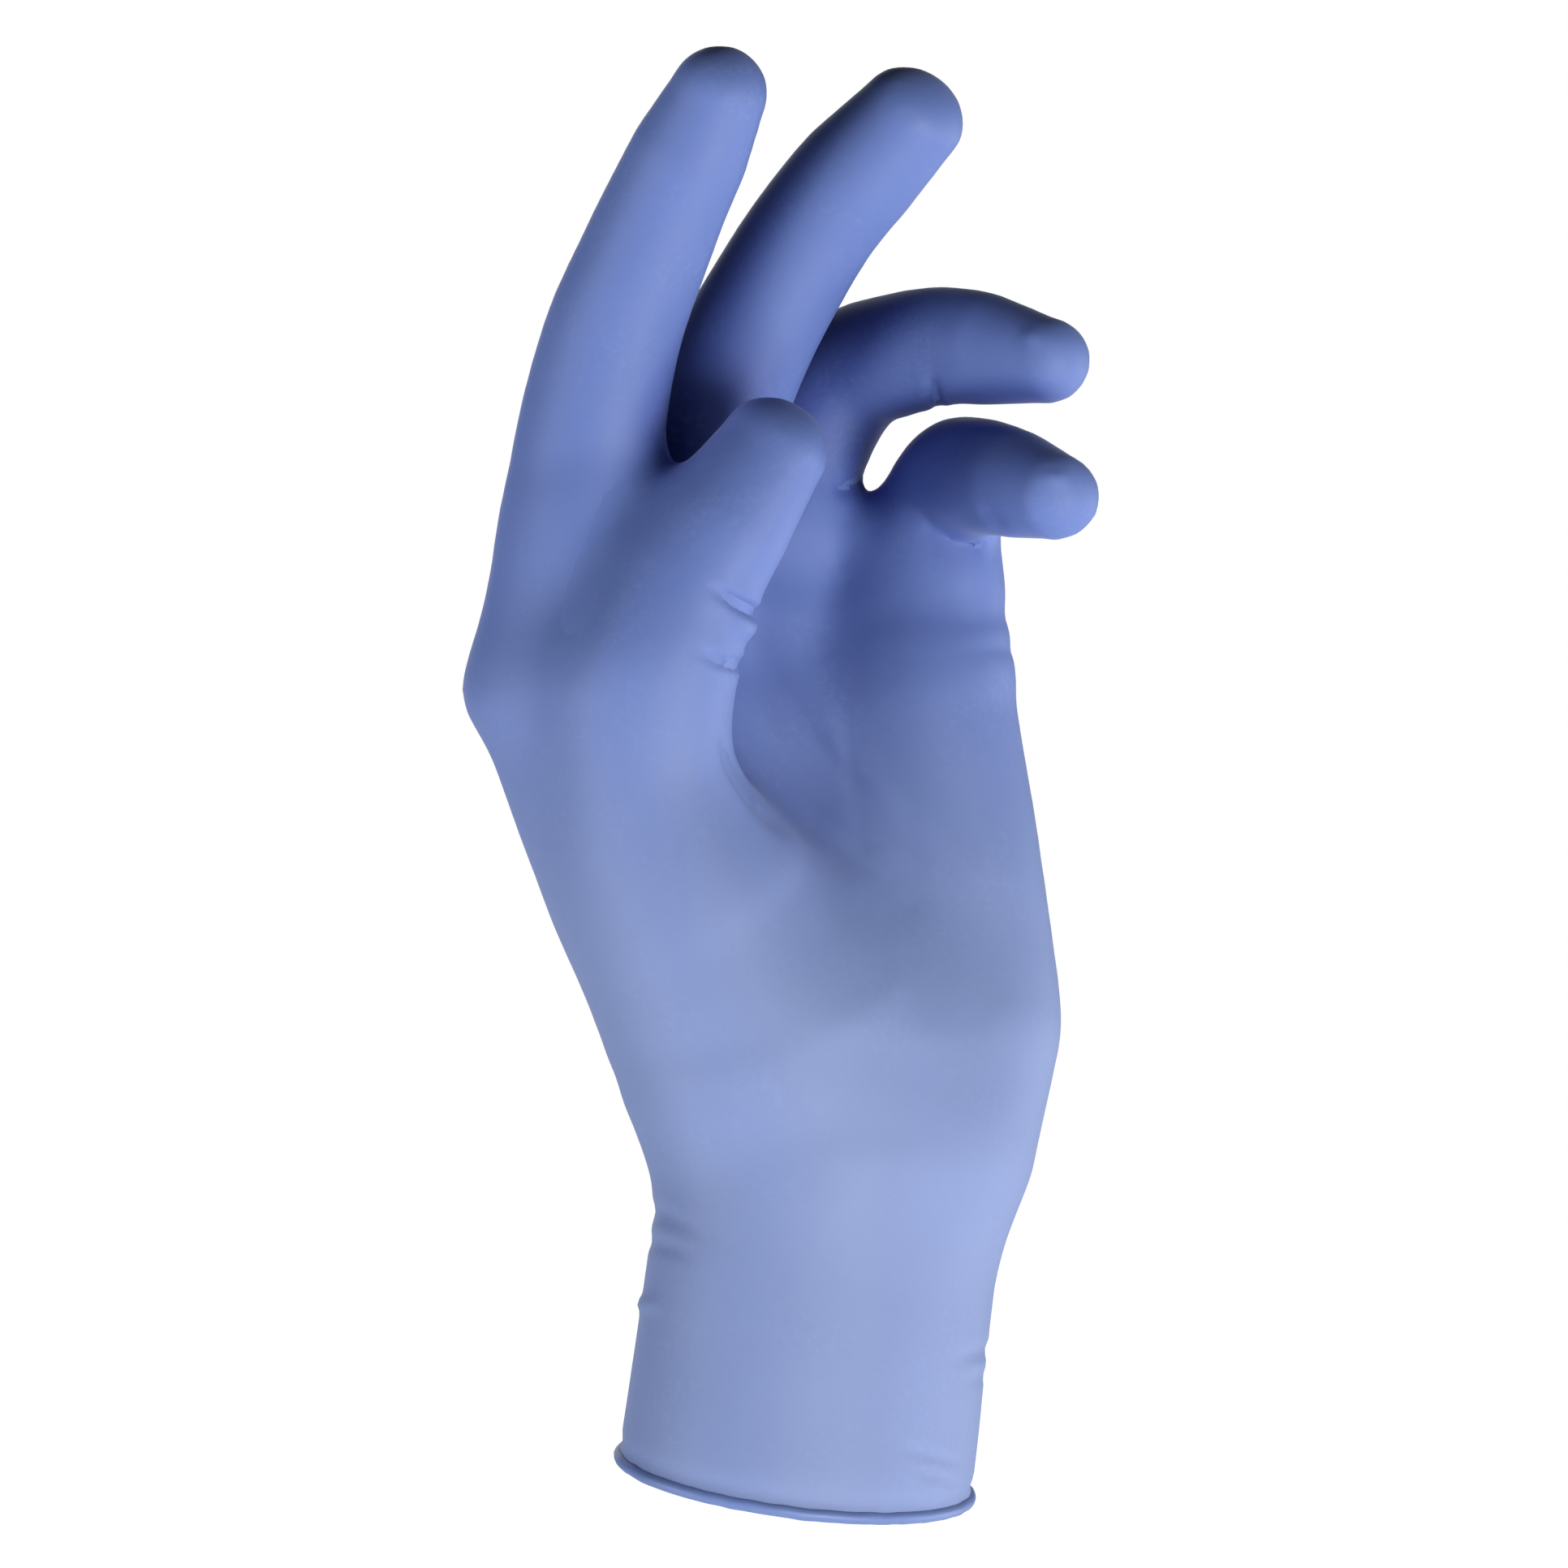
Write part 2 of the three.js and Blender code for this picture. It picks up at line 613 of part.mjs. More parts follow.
// The grid planes round the whole form. They lie closer together up the fingers than up the
// plain cuff, and one of them runs through the gap between the two curled fingers.
function gridPlanes(step) {
  const room = new THREE.Box3();
  for (const digit of Object.values(DIGITS)) digitJoints(digit).forEach((joint) => room.expandByPoint(joint));
  CUFF_PATH.forEach((row) =>
    room.expandByPoint(new THREE.Vector3(row.side, row.away, row.up).multiplyScalar(CUFF_LENGTH)),
  );
  room.expandByScalar(CUFF_WIDTH / 2 + step);
  const wrist = root.z * 0.7;
  const knuckles = place(DIGITS.middle.start).z;
  const gap = (digitJoints(DIGITS.ring)[2].z + digitJoints(DIGITS.little)[2].z) / 2;
  const levels = [
    ...stepsBetween(room.min.z, wrist, step * 1.8),
    ...stepsBetween(wrist, knuckles, step * 1.2),
    ...stepsBetween(knuckles, gap, step * 0.9),
    ...stepsBetween(gap, room.max.z, step),
  ];
  return [stepsBetween(room.min.x, room.max.x, step), stepsBetween(room.min.y, room.max.y, step), levels];
}

// The hollow without what its facets leave too close to the outer skin: it stays inside the
// outer solid as moved a little way in each direction.
function keptInside(inner, outer) {
  const sides = [-1, 0, 1];
  const ways = sides.flatMap((x) => sides.flatMap((y) => sides.map((z) => new THREE.Vector3(x, y, z))));
  const moved = ways
    .filter((way) => way.length() === 1 || way.length() > 1.5)
    .map((way) => outer.translate(way.setLength(THINNEST).toArray()));
  return moved.reduce((hollow, solid) => hollow.intersect(solid), inner);
}

function gloveGeometry() {
  const form = handForm();
  const outer = toSolid(skinMesh(form, gridPlanes(OUTER_STEP)));
  const inner = toSolid(skinMesh((p) => form(p) + FILM, gridPlanes(INNER_STEP)));
  const film = outer.subtract(keptInside(inner, outer));
  const open = film.subtract(toSolid(belowRim()));
  return toGeometry(open.add(toSolid(beadGeometry(form))));
}

const nitrile = new THREE.MeshStandardMaterial({ color: 0x7183bf, roughness: 0.55, metalness: 0 });
const glove = new THREE.Mesh(gloveGeometry(), nitrile);
glove.name = "glove";

const part = new THREE.Group();
part.add(glove);
export default part;
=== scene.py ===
"""A nitrile exam glove that keeps the form of a raised left hand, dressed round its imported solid.

Everything is worked out in millimetres in the solid's own frame and turned into metres where a
mesh is made. +X is to the right in the main view, +Y away from the viewer and +Z up the wrist.
"""

from __future__ import annotations

import enum
import logging
import math
from collections.abc import Callable, Sequence
from dataclasses import dataclass, field

import bmesh
import bpy
import numpy as np
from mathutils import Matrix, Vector, noise

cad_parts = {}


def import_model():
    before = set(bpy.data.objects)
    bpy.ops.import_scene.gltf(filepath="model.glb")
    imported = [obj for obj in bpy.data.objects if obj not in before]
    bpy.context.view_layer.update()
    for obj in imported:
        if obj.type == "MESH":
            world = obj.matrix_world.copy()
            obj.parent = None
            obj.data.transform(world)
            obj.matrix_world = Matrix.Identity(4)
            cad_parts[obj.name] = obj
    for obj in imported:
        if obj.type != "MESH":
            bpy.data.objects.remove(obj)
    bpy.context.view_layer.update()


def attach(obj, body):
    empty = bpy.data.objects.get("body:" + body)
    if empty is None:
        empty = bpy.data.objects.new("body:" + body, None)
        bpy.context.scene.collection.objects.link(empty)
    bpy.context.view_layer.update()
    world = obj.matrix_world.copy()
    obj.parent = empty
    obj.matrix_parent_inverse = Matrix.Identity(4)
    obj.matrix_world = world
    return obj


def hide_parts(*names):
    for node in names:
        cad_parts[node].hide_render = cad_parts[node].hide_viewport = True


LOG = logging.getLogger("glove")
MM = 0.001
NODE = "glove"
# The point layer of painted shade: how closely other parts stand in front of the film.
PAINTED_SHADE_LAYER = "painted_shade"
# The second tint is paler towards the cuff; the third is a painted shade colour.
TINTS = ("Film", "Low_tint", "Deep", "Powder")
AMOUNTS = ("Mottle", "Matt")

Array = np.ndarray
Distance = Callable[[Array], Array]


def heading(lean: float, reach: float) -> Array:
    """A direction that leans from upright towards +X and reaches out towards -Y.

    Args:
        lean: degrees from upright towards +X.
        reach: degrees out of upright towards -Y.

    Returns:
        The unit direction.
    """
    level = math.cos(math.radians(reach))
    return np.array(
        [
            math.sin(math.radians(lean)) * level,
            -math.sin(math.radians(reach)),
            math.cos(math.radians(lean)) * level,
        ]
    )


def soft_union(one: Array, other: Array, width: float) -> Array:
    """Joins two forms so that they run into each other.

    Args:
        one: distances to the first form.
        other: distances to the second form.
        width: how far the two run into each other.

    Returns:
        The distances to the joined form.
    """
    near = np.maximum(width - np.abs(one - other), 0) / width
    return np.minimum(one, other) - near * near * width * 0.25


def smooth_step(low: float, high: float, value: Array) -> Array:
    """A smooth ramp.

    Args:
        low: the value up to which the ramp is 0.
        high: the value from which it is 1.
        value: where to read it.

    Returns:
        Shares from 0 to 1.
    """
    share = np.clip((value - low) / (high - low), 0, 1)
    return share * share * (3 - 2 * share)


@dataclass(frozen=True)
class Section:
    """One section of a limb: its half width, and its depth to the back and to the pad."""

    at: float
    half: float
    back: float
    pad: float

    def scaled(self, size: float) -> Section:
        """The same section with its shares turned into millimetres.

        Args:
            size: how many millimetres a share of 1 is.

        Returns:
            The section in millimetres.
        """
        return Section(self.at, self.half * size, self.back * size, self.pad * size)


@dataclass(frozen=True)
class Bone:
    """One bone of a digit: its share of the digit's length and the way it points."""

    share: float
    lean: float
    reach: float


@dataclass(frozen=True)
class Digit:
    """A finger or thumb: its size, where it starts on the palm, its bones and its sections."""

    length: float
    width: float
    start: tuple[float, float, float]
    bones: tuple[Bone, ...]
    backs: tuple[tuple[float, float, float], ...]
    sections: tuple[Section, ...]


def sections(*rows: tuple[float, float, float, float]) -> tuple[Section, ...]:
    """Turns rows of numbers into sections.

    Args:
        *rows: at, half, back and pad of each.

    Returns:
        The sections.
    """
    return tuple(Section(*row) for row in rows)


def bones(*rows: tuple[float, float, float]) -> tuple[Bone, ...]:
    """Turns rows of numbers into bones.

    Args:
        *rows: share, lean and reach of each.

    Returns:
        The bones.
    """
    return tuple(Bone(*row) for row in rows)


CURLED_BACKS = ((-0.8, 0.6, 0.2), (-0.5, 0.6, 0.8), (0, 0.5, 1), (0.2, 0.5, 1))
DIGITS: dict[str, Digit] = {
    "index": Digit(
        length=103,
        width=23.2,
        start=(-0.393, 0.904, -0.005),
        bones=bones((0.519, 7.5, 9), (0.301, 23, 17), (0.18, 25.5, 19)),
        backs=((-0.7, 0.7, 0),),
        sections=sections(
            (0, 1.06, 1.16, 1.03),
            (0.5, 1.07, 1.03, 1.07),
            (1, 1, 0.95, 0.97),
            (1.5, 0.91, 0.85, 0.9),
            (2, 0.86, 0.79, 0.83),
            (2.6, 0.82, 0.69, 0.81),
            (3, 0.7, 0.56, 0.68),
        ),
    ),
    "middle": Digit(
        length=100,
        width=22,
        start=(0, 1.002, 0.001),
        bones=bones((0.48, 17, 9.5), (0.3, 31, 18), (0.226, 43, 18.5)),
        backs=((-0.7, 0.7, 0),),
        sections=sections(
            (0, 1.09, 1.18, 1.09),
            (0.5, 1.05, 1, 1.09),
            (1, 1, 0.95, 1),
            (1.5, 0.96, 0.89, 0.95),
            (2, 0.93, 0.85, 0.89),
            (2.6, 0.92, 0.81, 0.92),
            (3, 0.82, 0.68, 0.8),
        ),
    ),
    "ring": Digit(
        length=89,
        width=20.8,
        start=(0.335, 1.035, 0.1),
        bones=bones((0.485, 16.5, -4), (0.286, 74, 38), (0.222, 99, 32)),
        backs=((-0.8, 0.5, 0.2), (-0.5, 0.4, 0.8), (0, 0.3, 1), (0.2, 0.3, 1)),
        sections=sections(
            (0, 1.1, 1.15, 1.06),
            (0.5, 1.02, 0.98, 1.02),
            (1, 1, 1.02, 0.98),
            (1.5, 0.96, 0.96, 0.94),
            (2, 0.94, 0.92, 0.9),
            (2.6, 0.9, 0.79, 0.88),
            (3, 0.73, 0.6, 0.71),
        ),
    ),
    "little": Digit(
        length=67,
        width=19.4,
        start=(0.6, 0.968, 0.38),
        bones=bones((0.45, 15.5, 3.5), (0.286, 82.5, 68), (0.264, 107, 53)),
        backs=CURLED_BACKS,
        sections=sections(
            (0, 1.16, 1.21, 1.26),
            (0.5, 1.07, 1.08, 1.14),
            (1, 0.99, 1.1, 0.99),
            (1.5, 0.97, 1.02, 0.95),
            (2, 0.97, 0.91, 0.93),
            (2.6, 0.91, 0.8, 0.88),
            (3, 0.76, 0.65, 0.76),
        ),
    ),
    "thumb": Digit(
        length=107.5,
        width=24.8,
        start=(-0.33, 0.04, 0.06),
        bones=bones((0.491, -18, 9), (0.294, 21, 5), (0.215, 33, 0)),
        backs=((-0.8, -0.6, 0.2), (-0.8, -0.6, 0.2), (-0.6, -0.7, 0.3), (-0.5, -0.7, 0.4)),
        sections=sections(
            (0, 1.12, 1.05, 1.1),
            (0.5, 1.16, 1.05, 0.92),
            (1, 1, 1, 0.86),
            (1.5, 0.95, 0.93, 0.86),
            (2, 0.94, 0.87, 0.85),
            (2.5, 0.92, 0.76, 0.81),
            (3, 0.76, 0.58, 0.69),
        ),
    ),
}


@dataclass(frozen=True)
class Ray:
    """A knuckle bone in the palm, named for the digit at its head."""

    digit: str
    root: float
    swell: float
    half: float
    back: float
    pad: float


@dataclass(frozen=True)
class PadRow:
    """One section of a pad of the palm: its place, and its size as shares of the pad's depth."""

    over: float
    up: float
    out: float
    half: float
    back: float
    pad: float


@dataclass(frozen=True)
class Web:
    """The web between two fingers, and how far up each first bone it reaches."""

    one: str
    one_at: float
    other: str
    other_at: float


@dataclass(frozen=True)
class CuffRow:
    """One section of the cuff: its middle as shares of the length, and its size as shares."""

    side: float
    away: float
    up: float
    half: float
    back: float
    pad: float


RAYS = (
    Ray("index", -0.2, -0.045, 0.96, 1.04, 1),
    Ray("middle", -0.08, 0, 0.92, 1, 1.1),
    Ray("ring", 0.08, 0, 0.88, 0.92, 1.15),
    Ray("little", 0.2, 0, 0.85, 0.88, 0.96),
)
HEEL = (
    PadRow(0.31, -0.08, 0.18, 0.44, 0.46, 0.45),
    PadRow(0.46, 0.13, 0.31, 0.45, 0.5, 0.48),
    PadRow(0.54, 0.47, 0.41, 0.41, 0.5, 0.43),
    PadRow(0.6, 0.85, 0.43, 0.41, 0.45, 0.38),
)
BALL = (
    PadRow(-0.13, -0.05, 0.05, 0.38, 0.34, 0.42),
    PadRow(-0.15, 0.16, 0.18, 0.48, 0.44, 0.46),
    PadRow(-0.29, 0.4, 0.24, 0.36, 0.37, 0.33),
)
WEBS = (
    Web("index", 0.46, "middle", 0.46),
    Web("middle", 0.4, "ring", 0.4),
    Web("ring", 0.4, "little", 0.55),
)
CUFF_ROWS = (
    CuffRow(-0.04, 0, -0.35, 0.96, 0.97, 0.97),
    CuffRow(0, 0, 0, 1, 1, 1),
    CuffRow(0.07, 0, 0.53, 1, 0.94, 0.94),
    CuffRow(0.1, 0, 0.8, 0.98, 0.86, 0.94),
    CuffRow(0.09, 0.03, 1, 0.9, 0.78, 0.84),
)


def oval_distance(parts: Sequence[Array], radii: Sequence[Array | float]) -> Array:
    """A close distance to an oval from its middle.

    Args:
        parts: the place along each of the oval's three directions.
        radii: the oval's radius along each of them.

    Returns:
        Distances, negative inside.
    """
    near = np.sqrt(sum((v / r) ** 2 for v, r in zip(parts, radii))) + 1e-9
    steep = np.sqrt(sum((v / r**2) ** 2 for v, r in zip(parts, radii))) + 1e-9
    return near * (near - 1) / steep


class Limb:
    """A form of oval sections along a centre line that is rounded at each joint."""

    CORNER = 0.4
    JOINT_STEPS = 6
    REACH = 24.0

    def __init__(
        self,
        joints: Sequence[Array],
        rows: Sequence[Section],
        backs: Sequence[Sequence[float]],
        cap: float,
    ) -> None:
        """Works out the centre line and its sections.

        Args:
            joints: the ends and joints of the limb.
            rows: its sections, in millimetres.
            backs: the way its back faces at each joint.
            cap: length of its round ends.
        """
        line, at = self._centre_line([np.asarray(joint, float) for joint in joints])
        self.line, self.cap = line, cap
        last = len(line) - 1
        run = np.array([line[min(i + 1, last)] - line[max(i - 1, 0)] for i in range(last + 1)])
        self.run = run / np.linalg.norm(run, axis=1)[:, None]
        table = np.array([(row.at, row.half, row.back, row.pad) for row in rows])
        self.sizes = np.stack([np.interp(at, table[:, 0], table[:, c]) for c in (1, 2, 3)], axis=1)
        turns = np.array(backs, float)
        steps = np.arange(len(turns))
        turn_at = np.minimum(at, len(turns) - 1)
        back = np.stack([np.interp(turn_at, steps, turns[:, c]) for c in range(3)], axis=1)
        back -= (back * self.run).sum(1)[:, None] * self.run
        self.back = back / np.linalg.norm(back, axis=1)[:, None]
        self.side = np.cross(self.run, self.back)
        room = self.sizes.max() + self.REACH
        self.low, self.high = line.min(0) - room, line.max(0) + room

    def _centre_line(self, joints: list[Array]) -> tuple[Array, Array]:
        """The rounded centre line and its place along the joints.

        Args:
            joints: the ends and joints of the limb.

        Returns:
            The points, and for each the number of joints passed.
        """
        points, at = [joints[0]], [0.0]
        for i in range(1, len(joints) - 1):
            before = joints[i] + (joints[i - 1] - joints[i]) * self.CORNER
            after = joints[i] + (joints[i + 1] - joints[i]) * self.CORNER
            for step in range(self.JOINT_STEPS + 1):
                t = step / self.JOINT_STEPS
                points.append((1 - t) ** 2 * before + 2 * t * (1 - t) * joints[i] + t * t * after)
                at.append(i - self.CORNER + 2 * self.CORNER * t)
        points.append(joints[-1])
        at.append(len(joints) - 1.0)
        return np.array(points), np.array(at)

    def __call__(self, places: Array) -> Array:
        """Distances from places to the limb, negative inside."""
        gap = np.maximum(np.maximum(self.low - places, places - self.high), 0)
        out = np.sqrt((gap * gap).sum(1)) + self.REACH
        near = (gap == 0).all(1)
        if near.any():
            out[near] = self._near(places[near])
        return out

    def _near(self, places: Array) -> Array:
        """Distances from places that lie close by."""
        best = np.full(len(places), np.inf)
        index = np.zeros(len(places), int)
        share = np.zeros(len(places))
        for i in range(len(self.line) - 1):
            start, along = self.line[i], self.line[i + 1] - self.line[i]
            t = np.clip(((places - start) @ along) / (along @ along), 0, 1)
            away = places - start - t[:, None] * along
            gap = (away * away).sum(1)
            closer = gap < best
            best[closer], index[closer], share[closer] = gap[closer], i, t[closer]

        def mix(values: Array) -> Array:
            return values[index] * (1 - share[:, None]) + values[index + 1] * share[:, None]

        away = places - mix(self.line)
        sizes = mix(self.sizes)
        rise = (away * mix(self.back)).sum(1)
        depth = np.where(rise > 0, sizes[:, 1], sizes[:, 2])
        parts = ((away * mix(self.side)).sum(1), rise, (away * mix(self.run)).sum(1))
        return oval_distance(parts, (sizes[:, 0], depth, self.cap))


@dataclass(frozen=True)
class Sheet:
    """A flat web between three corners, rounded at its rim."""

    one: Array
    two: Array
    three: Array
    radius: float

    def __call__(self, places: Array) -> Array:
        """Distances from places to the web, negative inside."""
        corners = (self.one, self.two, self.three)
        edges = [corners[(i + 1) % 3] - corners[i] for i in range(3)]
        normal = np.cross(edges[0], -edges[2])
        sides = sum(
            np.sign((places - corner) @ np.cross(edge, normal)) for corner, edge in zip(corners, edges)
        )
        rim = np.full(len(places), np.inf)
        for corner, edge in zip(corners, edges):
            away = places - corner
            off = away - np.clip(away @ edge / (edge @ edge), 0, 1)[:, None] * edge
            rim = np.minimum(rim, (off * off).sum(1))
        flat = ((places - self.one) @ normal) ** 2 / (normal @ normal)
        inside = np.abs(sides) > 2
        return np.sqrt(np.where(inside, np.minimum(flat, rim), rim)) - self.radius


class Region(enum.Enum):
    """The parts of the glove that a fold can lie on."""

    CUFF = "cuff"
    PALM = "palm"
    THUMB = "thumb"
    INDEX = "index"
    MIDDLE = "middle"
    RING = "ring"
    LITTLE = "little"


@dataclass
class HandForm:
    """The form that the film is stretched over, with the same sizes as the solid."""

    cuff_width: float = 63
    cuff_depth: float = 50
    cuff_length: float = 63.5
    palm_turn: float = 45
    palm_length: float = 74
    palm_lean: float = -20
    palm_reach: float = -6
    palm_depth: float = 26
    knuckle_span: float = 58
    heel_depth: float = 28
    ball_depth: float = 36
    web_depth: float = 14
    cleft_depth: float = 17
    ray_arch: float = 0.05
    web_foot: float = 0.1
    finger_cap: float = 0.62
    merge: dict[str, float] = field(
        default_factory=lambda: {
            "bones": 9,
            "cuff": 14,
            "pads": 20,
            "webs": 7,
            "cleft": 12,
            "thumb": 12,
            "fingers": 2.5,
            "knuckles": 7,
        }
    )

    def __post_init__(self) -> None:
        """Builds the limbs and webs from the tables."""
        turn = math.radians(self.palm_turn)
        self.facing = np.array([math.cos(turn), -math.sin(turn), 0])
        self.across = np.array([-self.facing[1], self.facing[0], 0])
        self.along = heading(self.palm_lean, self.palm_reach)
        self.root = np.array([0.012, 0.032, 1.0]) * self.cuff_length
        self.digits = {name: self._digit(digit) for name, digit in DIGITS.items()}
        self.rays = [self._ray(ray) for ray in RAYS]
        self.pads = [self._pad(HEEL, self.heel_depth), self._pad(BALL, self.ball_depth)]
        self.cuff = self._cuff()
        self.webs = [self._web(web) for web in WEBS]
        self.clefts = self._cleft_sheets()

    def place(self, over: float, up: float, out: float) -> Array:
        """A place on the palm.

        Args:
            over: how far across it, as a share of the knuckles' span.
            up: how far up it, as a share of its length.
            out: how far out of it, as a share of the knuckles' span.

        Returns:
            The place in millimetres.
        """
        return (
            self.root
            + self.across * over * self.knuckle_span
            + self.along * up * self.palm_length
            + self.facing * out * self.knuckle_span
        )

    def joints(self, digit: Digit) -> list[Array]:
        """The knuckle, the joints and the last pad of a digit.

        Args:
            digit: the finger or thumb.

        Returns:
            Their places in millimetres.
        """
        found = [self.place(*digit.start)]
        for bone in digit.bones:
            found.append(found[-1] + heading(bone.lean, bone.reach) * bone.share * digit.length)
        return found

    def _digit(self, digit: Digit) -> Limb:
        """The form of one digit."""
        half = digit.width / 2
        rows = [row.scaled(half) for row in digit.sections]
        return Limb(self.joints(digit), rows, digit.backs, self.finger_cap * half)

    def _pad(self, rows: Sequence[PadRow], depth: float) -> Limb:
        """The form of one pad of the palm."""
        joints = [self.place(row.over, row.up, row.out) for row in rows]
        sizes = [Section(i, row.half, row.back, row.pad).scaled(depth) for i, row in enumerate(rows)]
        return Limb(joints, sizes, [-self.facing], depth * 0.32)

    def _ray(self, ray: Ray) -> Limb:
        """The form of one knuckle bone."""
        foot = self.root + self.across * ray.root * self.knuckle_span
        head = self.place(*DIGITS[ray.digit].start)
        arch = self.across * ray.swell - self.facing * self.ray_arch
        middle = (foot + head) / 2 + arch * self.knuckle_span
        rows = sections((0, 1, 1, 1.08), (1, 1, 1.1, 1.3), (2, ray.half, ray.back, ray.pad))
        sizes = [row.scaled(self.palm_depth / 2) for row in rows]
        return Limb([foot, middle, head], sizes, [-self.facing], self.palm_depth * 0.36)

    def _cuff(self) -> Limb:
        """The form of the cuff."""
        joints = [np.array([row.side, row.away, row.up]) * self.cuff_length for row in CUFF_ROWS]
        wide, deep = self.cuff_width / 2, self.cuff_depth / 2
        sizes = [
            Section(i, row.half * wide, row.back * deep, row.pad * deep)
            for i, row in enumerate(CUFF_ROWS)
        ]
        return Limb(joints, sizes, [-self.facing], self.cuff_depth * 0.2)

    def _on_first_bone(self, name: str, share: float) -> Array:
        """A place part of the way up a digit's first bone."""
        knuckle, joint = self.joints(DIGITS[name])[:2]
        return knuckle + (joint - knuckle) * share

    def _web(self, web: Web) -> Sheet:
        """The web between two fingers."""
        foot = sum(self._on_first_bone(name, self.web_foot) for name in (web.one, web.other)) / 2
        tops = (self._on_first_bone(web.one, web.one_at), self._on_first_bone(web.other, web.other_at))
        return Sheet(*tops, foot, self.web_depth / 2)

    def _cleft_sheets(self) -> list[Sheet]:
        """The two sheets of the web between thumb and forefinger."""
        palm = self.place(-0.28, 0.36, 0.12)
        thumb = self.place(-0.42, 0.95, 0.36)
        knuckle = self.place(-0.38, 0.94, 0.08)
        finger = self.place(-0.3, 1.3, 0.36)
        radius = self.cleft_depth / 2
        return [Sheet(palm, thumb, knuckle, radius), Sheet(knuckle, thumb, finger, radius)]

    def __call__(self, places: Array) -> Array:
        """Distances from places to the whole form, negative inside."""
        skin = self.rays[0](places)
        for form in self.rays[1:]:
            skin = soft_union(skin, form(places), self.merge["bones"])
        skin = soft_union(skin, self.cuff(places), self.merge["cuff"])
        for name, forms in (("pads", self.pads), ("webs", self.webs), ("cleft", self.clefts)):
            for form in forms:
                skin = soft_union(skin, form(places), self.merge[name])
        skin = soft_union(skin, self.digits["thumb"](places), self.merge["thumb"])
        stalls = self.digits["index"](places)
        for name in ("middle", "ring", "little"):
            stalls = soft_union(stalls, self.digits[name](places), self.merge["fingers"])
        return soft_union(skin, stalls, self.merge["knuckles"])

    def slope(self, places: Array, value: Array | None = None, nudge: float = 0.05) -> Array:
        """The way in which the form's distance rises at each place.

        Args:
            places: points in millimetres.
            value: the distances there, where they are known.
            nudge: how far off the rise is read.

        Returns:
            The rise along each axis.
        """
        start = self(places) if value is None else value
        return np.stack([(self(places + nudge * axis) - start) / nudge for axis in np.eye(3)], axis=1)

    def outward(self, places: Array) -> Array:
        """The unit directions straight out of the form at places on its skin."""
        slope = self.slope(places)
        return slope / np.linalg.norm(slope, axis=1)[:, None]

    def regions(self, places: Array) -> dict[Region, Array]:
        """The distance of each place from the parts of the glove.

        Args:
            places: points in millimetres.

        Returns:
            For each region its distances, which are near nothing on its own skin.
        """
        palm = np.min([form(places) for form in [*self.rays, *self.pads, *self.clefts]], axis=0)
        found = {Region.CUFF: self.cuff(places), Region.PALM: palm}
        for name, form in self.digits.items():
            found[Region(name)] = form(places)
        return found


class SkinMesher:
    """Makes an even mesh of a form's skin, one point for each grid cell that the skin crosses."""

    COARSE = 4
    SETTLE_STEPS = 3

    def __init__(self, form: HandForm, step: float, level: float, low: Array, high: Array) -> None:
        """Keeps what to mesh.

        Args:
            form: the form.
            step: spacing of the grid, in millimetres.
            level: the distance from the form at which the skin lies.
            low: lowest corner of the room to search.
            high: highest corner of the room to search.
        """
        self.form, self.step, self.level = form, step, level
        self.low = low
        blocks = np.ceil((high - low) / (step * self.COARSE)).astype(int)
        self.blocks = blocks
        self.count = blocks * self.COARSE + 1

    def _values(self) -> Array:
        """The form's distances on the fine grid, filled in only near the skin."""
        wide = self.step * self.COARSE
        middles = np.stack(np.meshgrid(*[np.arange(n) + 0.5 for n in self.blocks], indexing="ij"), -1)
        centres = self.low + middles.reshape(-1, 3) * wide
        near = np.abs(self.form(centres) - self.level) < wide * 1.15
        wanted = np.zeros(self.count, bool)
        for i, j, k in (np.argwhere(near.reshape(self.blocks)) * self.COARSE):
            wanted[i : i + self.COARSE + 1, j : j + self.COARSE + 1, k : k + self.COARSE + 1] = True
        values = np.full(self.count, np.nan)
        values[wanted] = self.form(self.low + np.argwhere(wanted) * self.step) - self.level
        return values

    def mesh(self) -> tuple[Array, Array]:
        """Builds the skin.

        Returns:
            Its points in millimetres and its four-sided faces, facing outwards.
        """
        values = self._values()
        sums: list[Array] = []
        owners: list[Array] = []
        quads: list[Array] = []
        strides = np.array([self.count[1] * self.count[2], self.count[2], 1])
        for axis in range(3):
            first = values[tuple(slice(0, -1) if a == axis else slice(None) for a in range(3))]
            second = values[tuple(slice(1, None) if a == axis else slice(None) for a in range(3))]
            crossing = (first < 0) != (second < 0)
            crossing &= ~np.isnan(first) & ~np.isnan(second)
            at = np.argwhere(crossing)
            start, end = first[crossing], second[crossing]
            cut = at.astype(float)
            cut[:, axis] += start / (start - end)
            u, v = (axis + 1) % 3, (axis + 2) % 3
            ring = []
            for du, dv in ((0, 0), (1, 0), (1, 1), (0, 1)):
                cell = at.copy()
                cell[:, u] -= du
                cell[:, v] -= dv
                ring.append(cell @ strides)
            quad = np.stack(ring, axis=1)
            quad[start >= 0] = quad[start >= 0][:, ::-1]
            quads.append(quad)
            owners.append(quad.ravel())
            sums.append(np.repeat(cut, 4, axis=0))
        faces = np.concatenate(quads)
        cells, where = np.unique(np.concatenate(owners), return_inverse=True)
        total = np.bincount(where)
        cuts = np.concatenate(sums)
        points = np.stack([np.bincount(where, weights=cuts[:, a]) / total for a in range(3)], axis=1)
        points = self.low + points * self.step
        for _ in range(self.SETTLE_STEPS):
            value = self.form(points)
            slope = self.form.slope(points, value)
            steep = np.maximum((slope * slope).sum(1), 0.2)
            move = -slope * ((value - self.level) / steep)[:, None]
            points += np.clip(move, -self.step / 2, self.step / 2)
        return points, np.searchsorted(cells, faces)


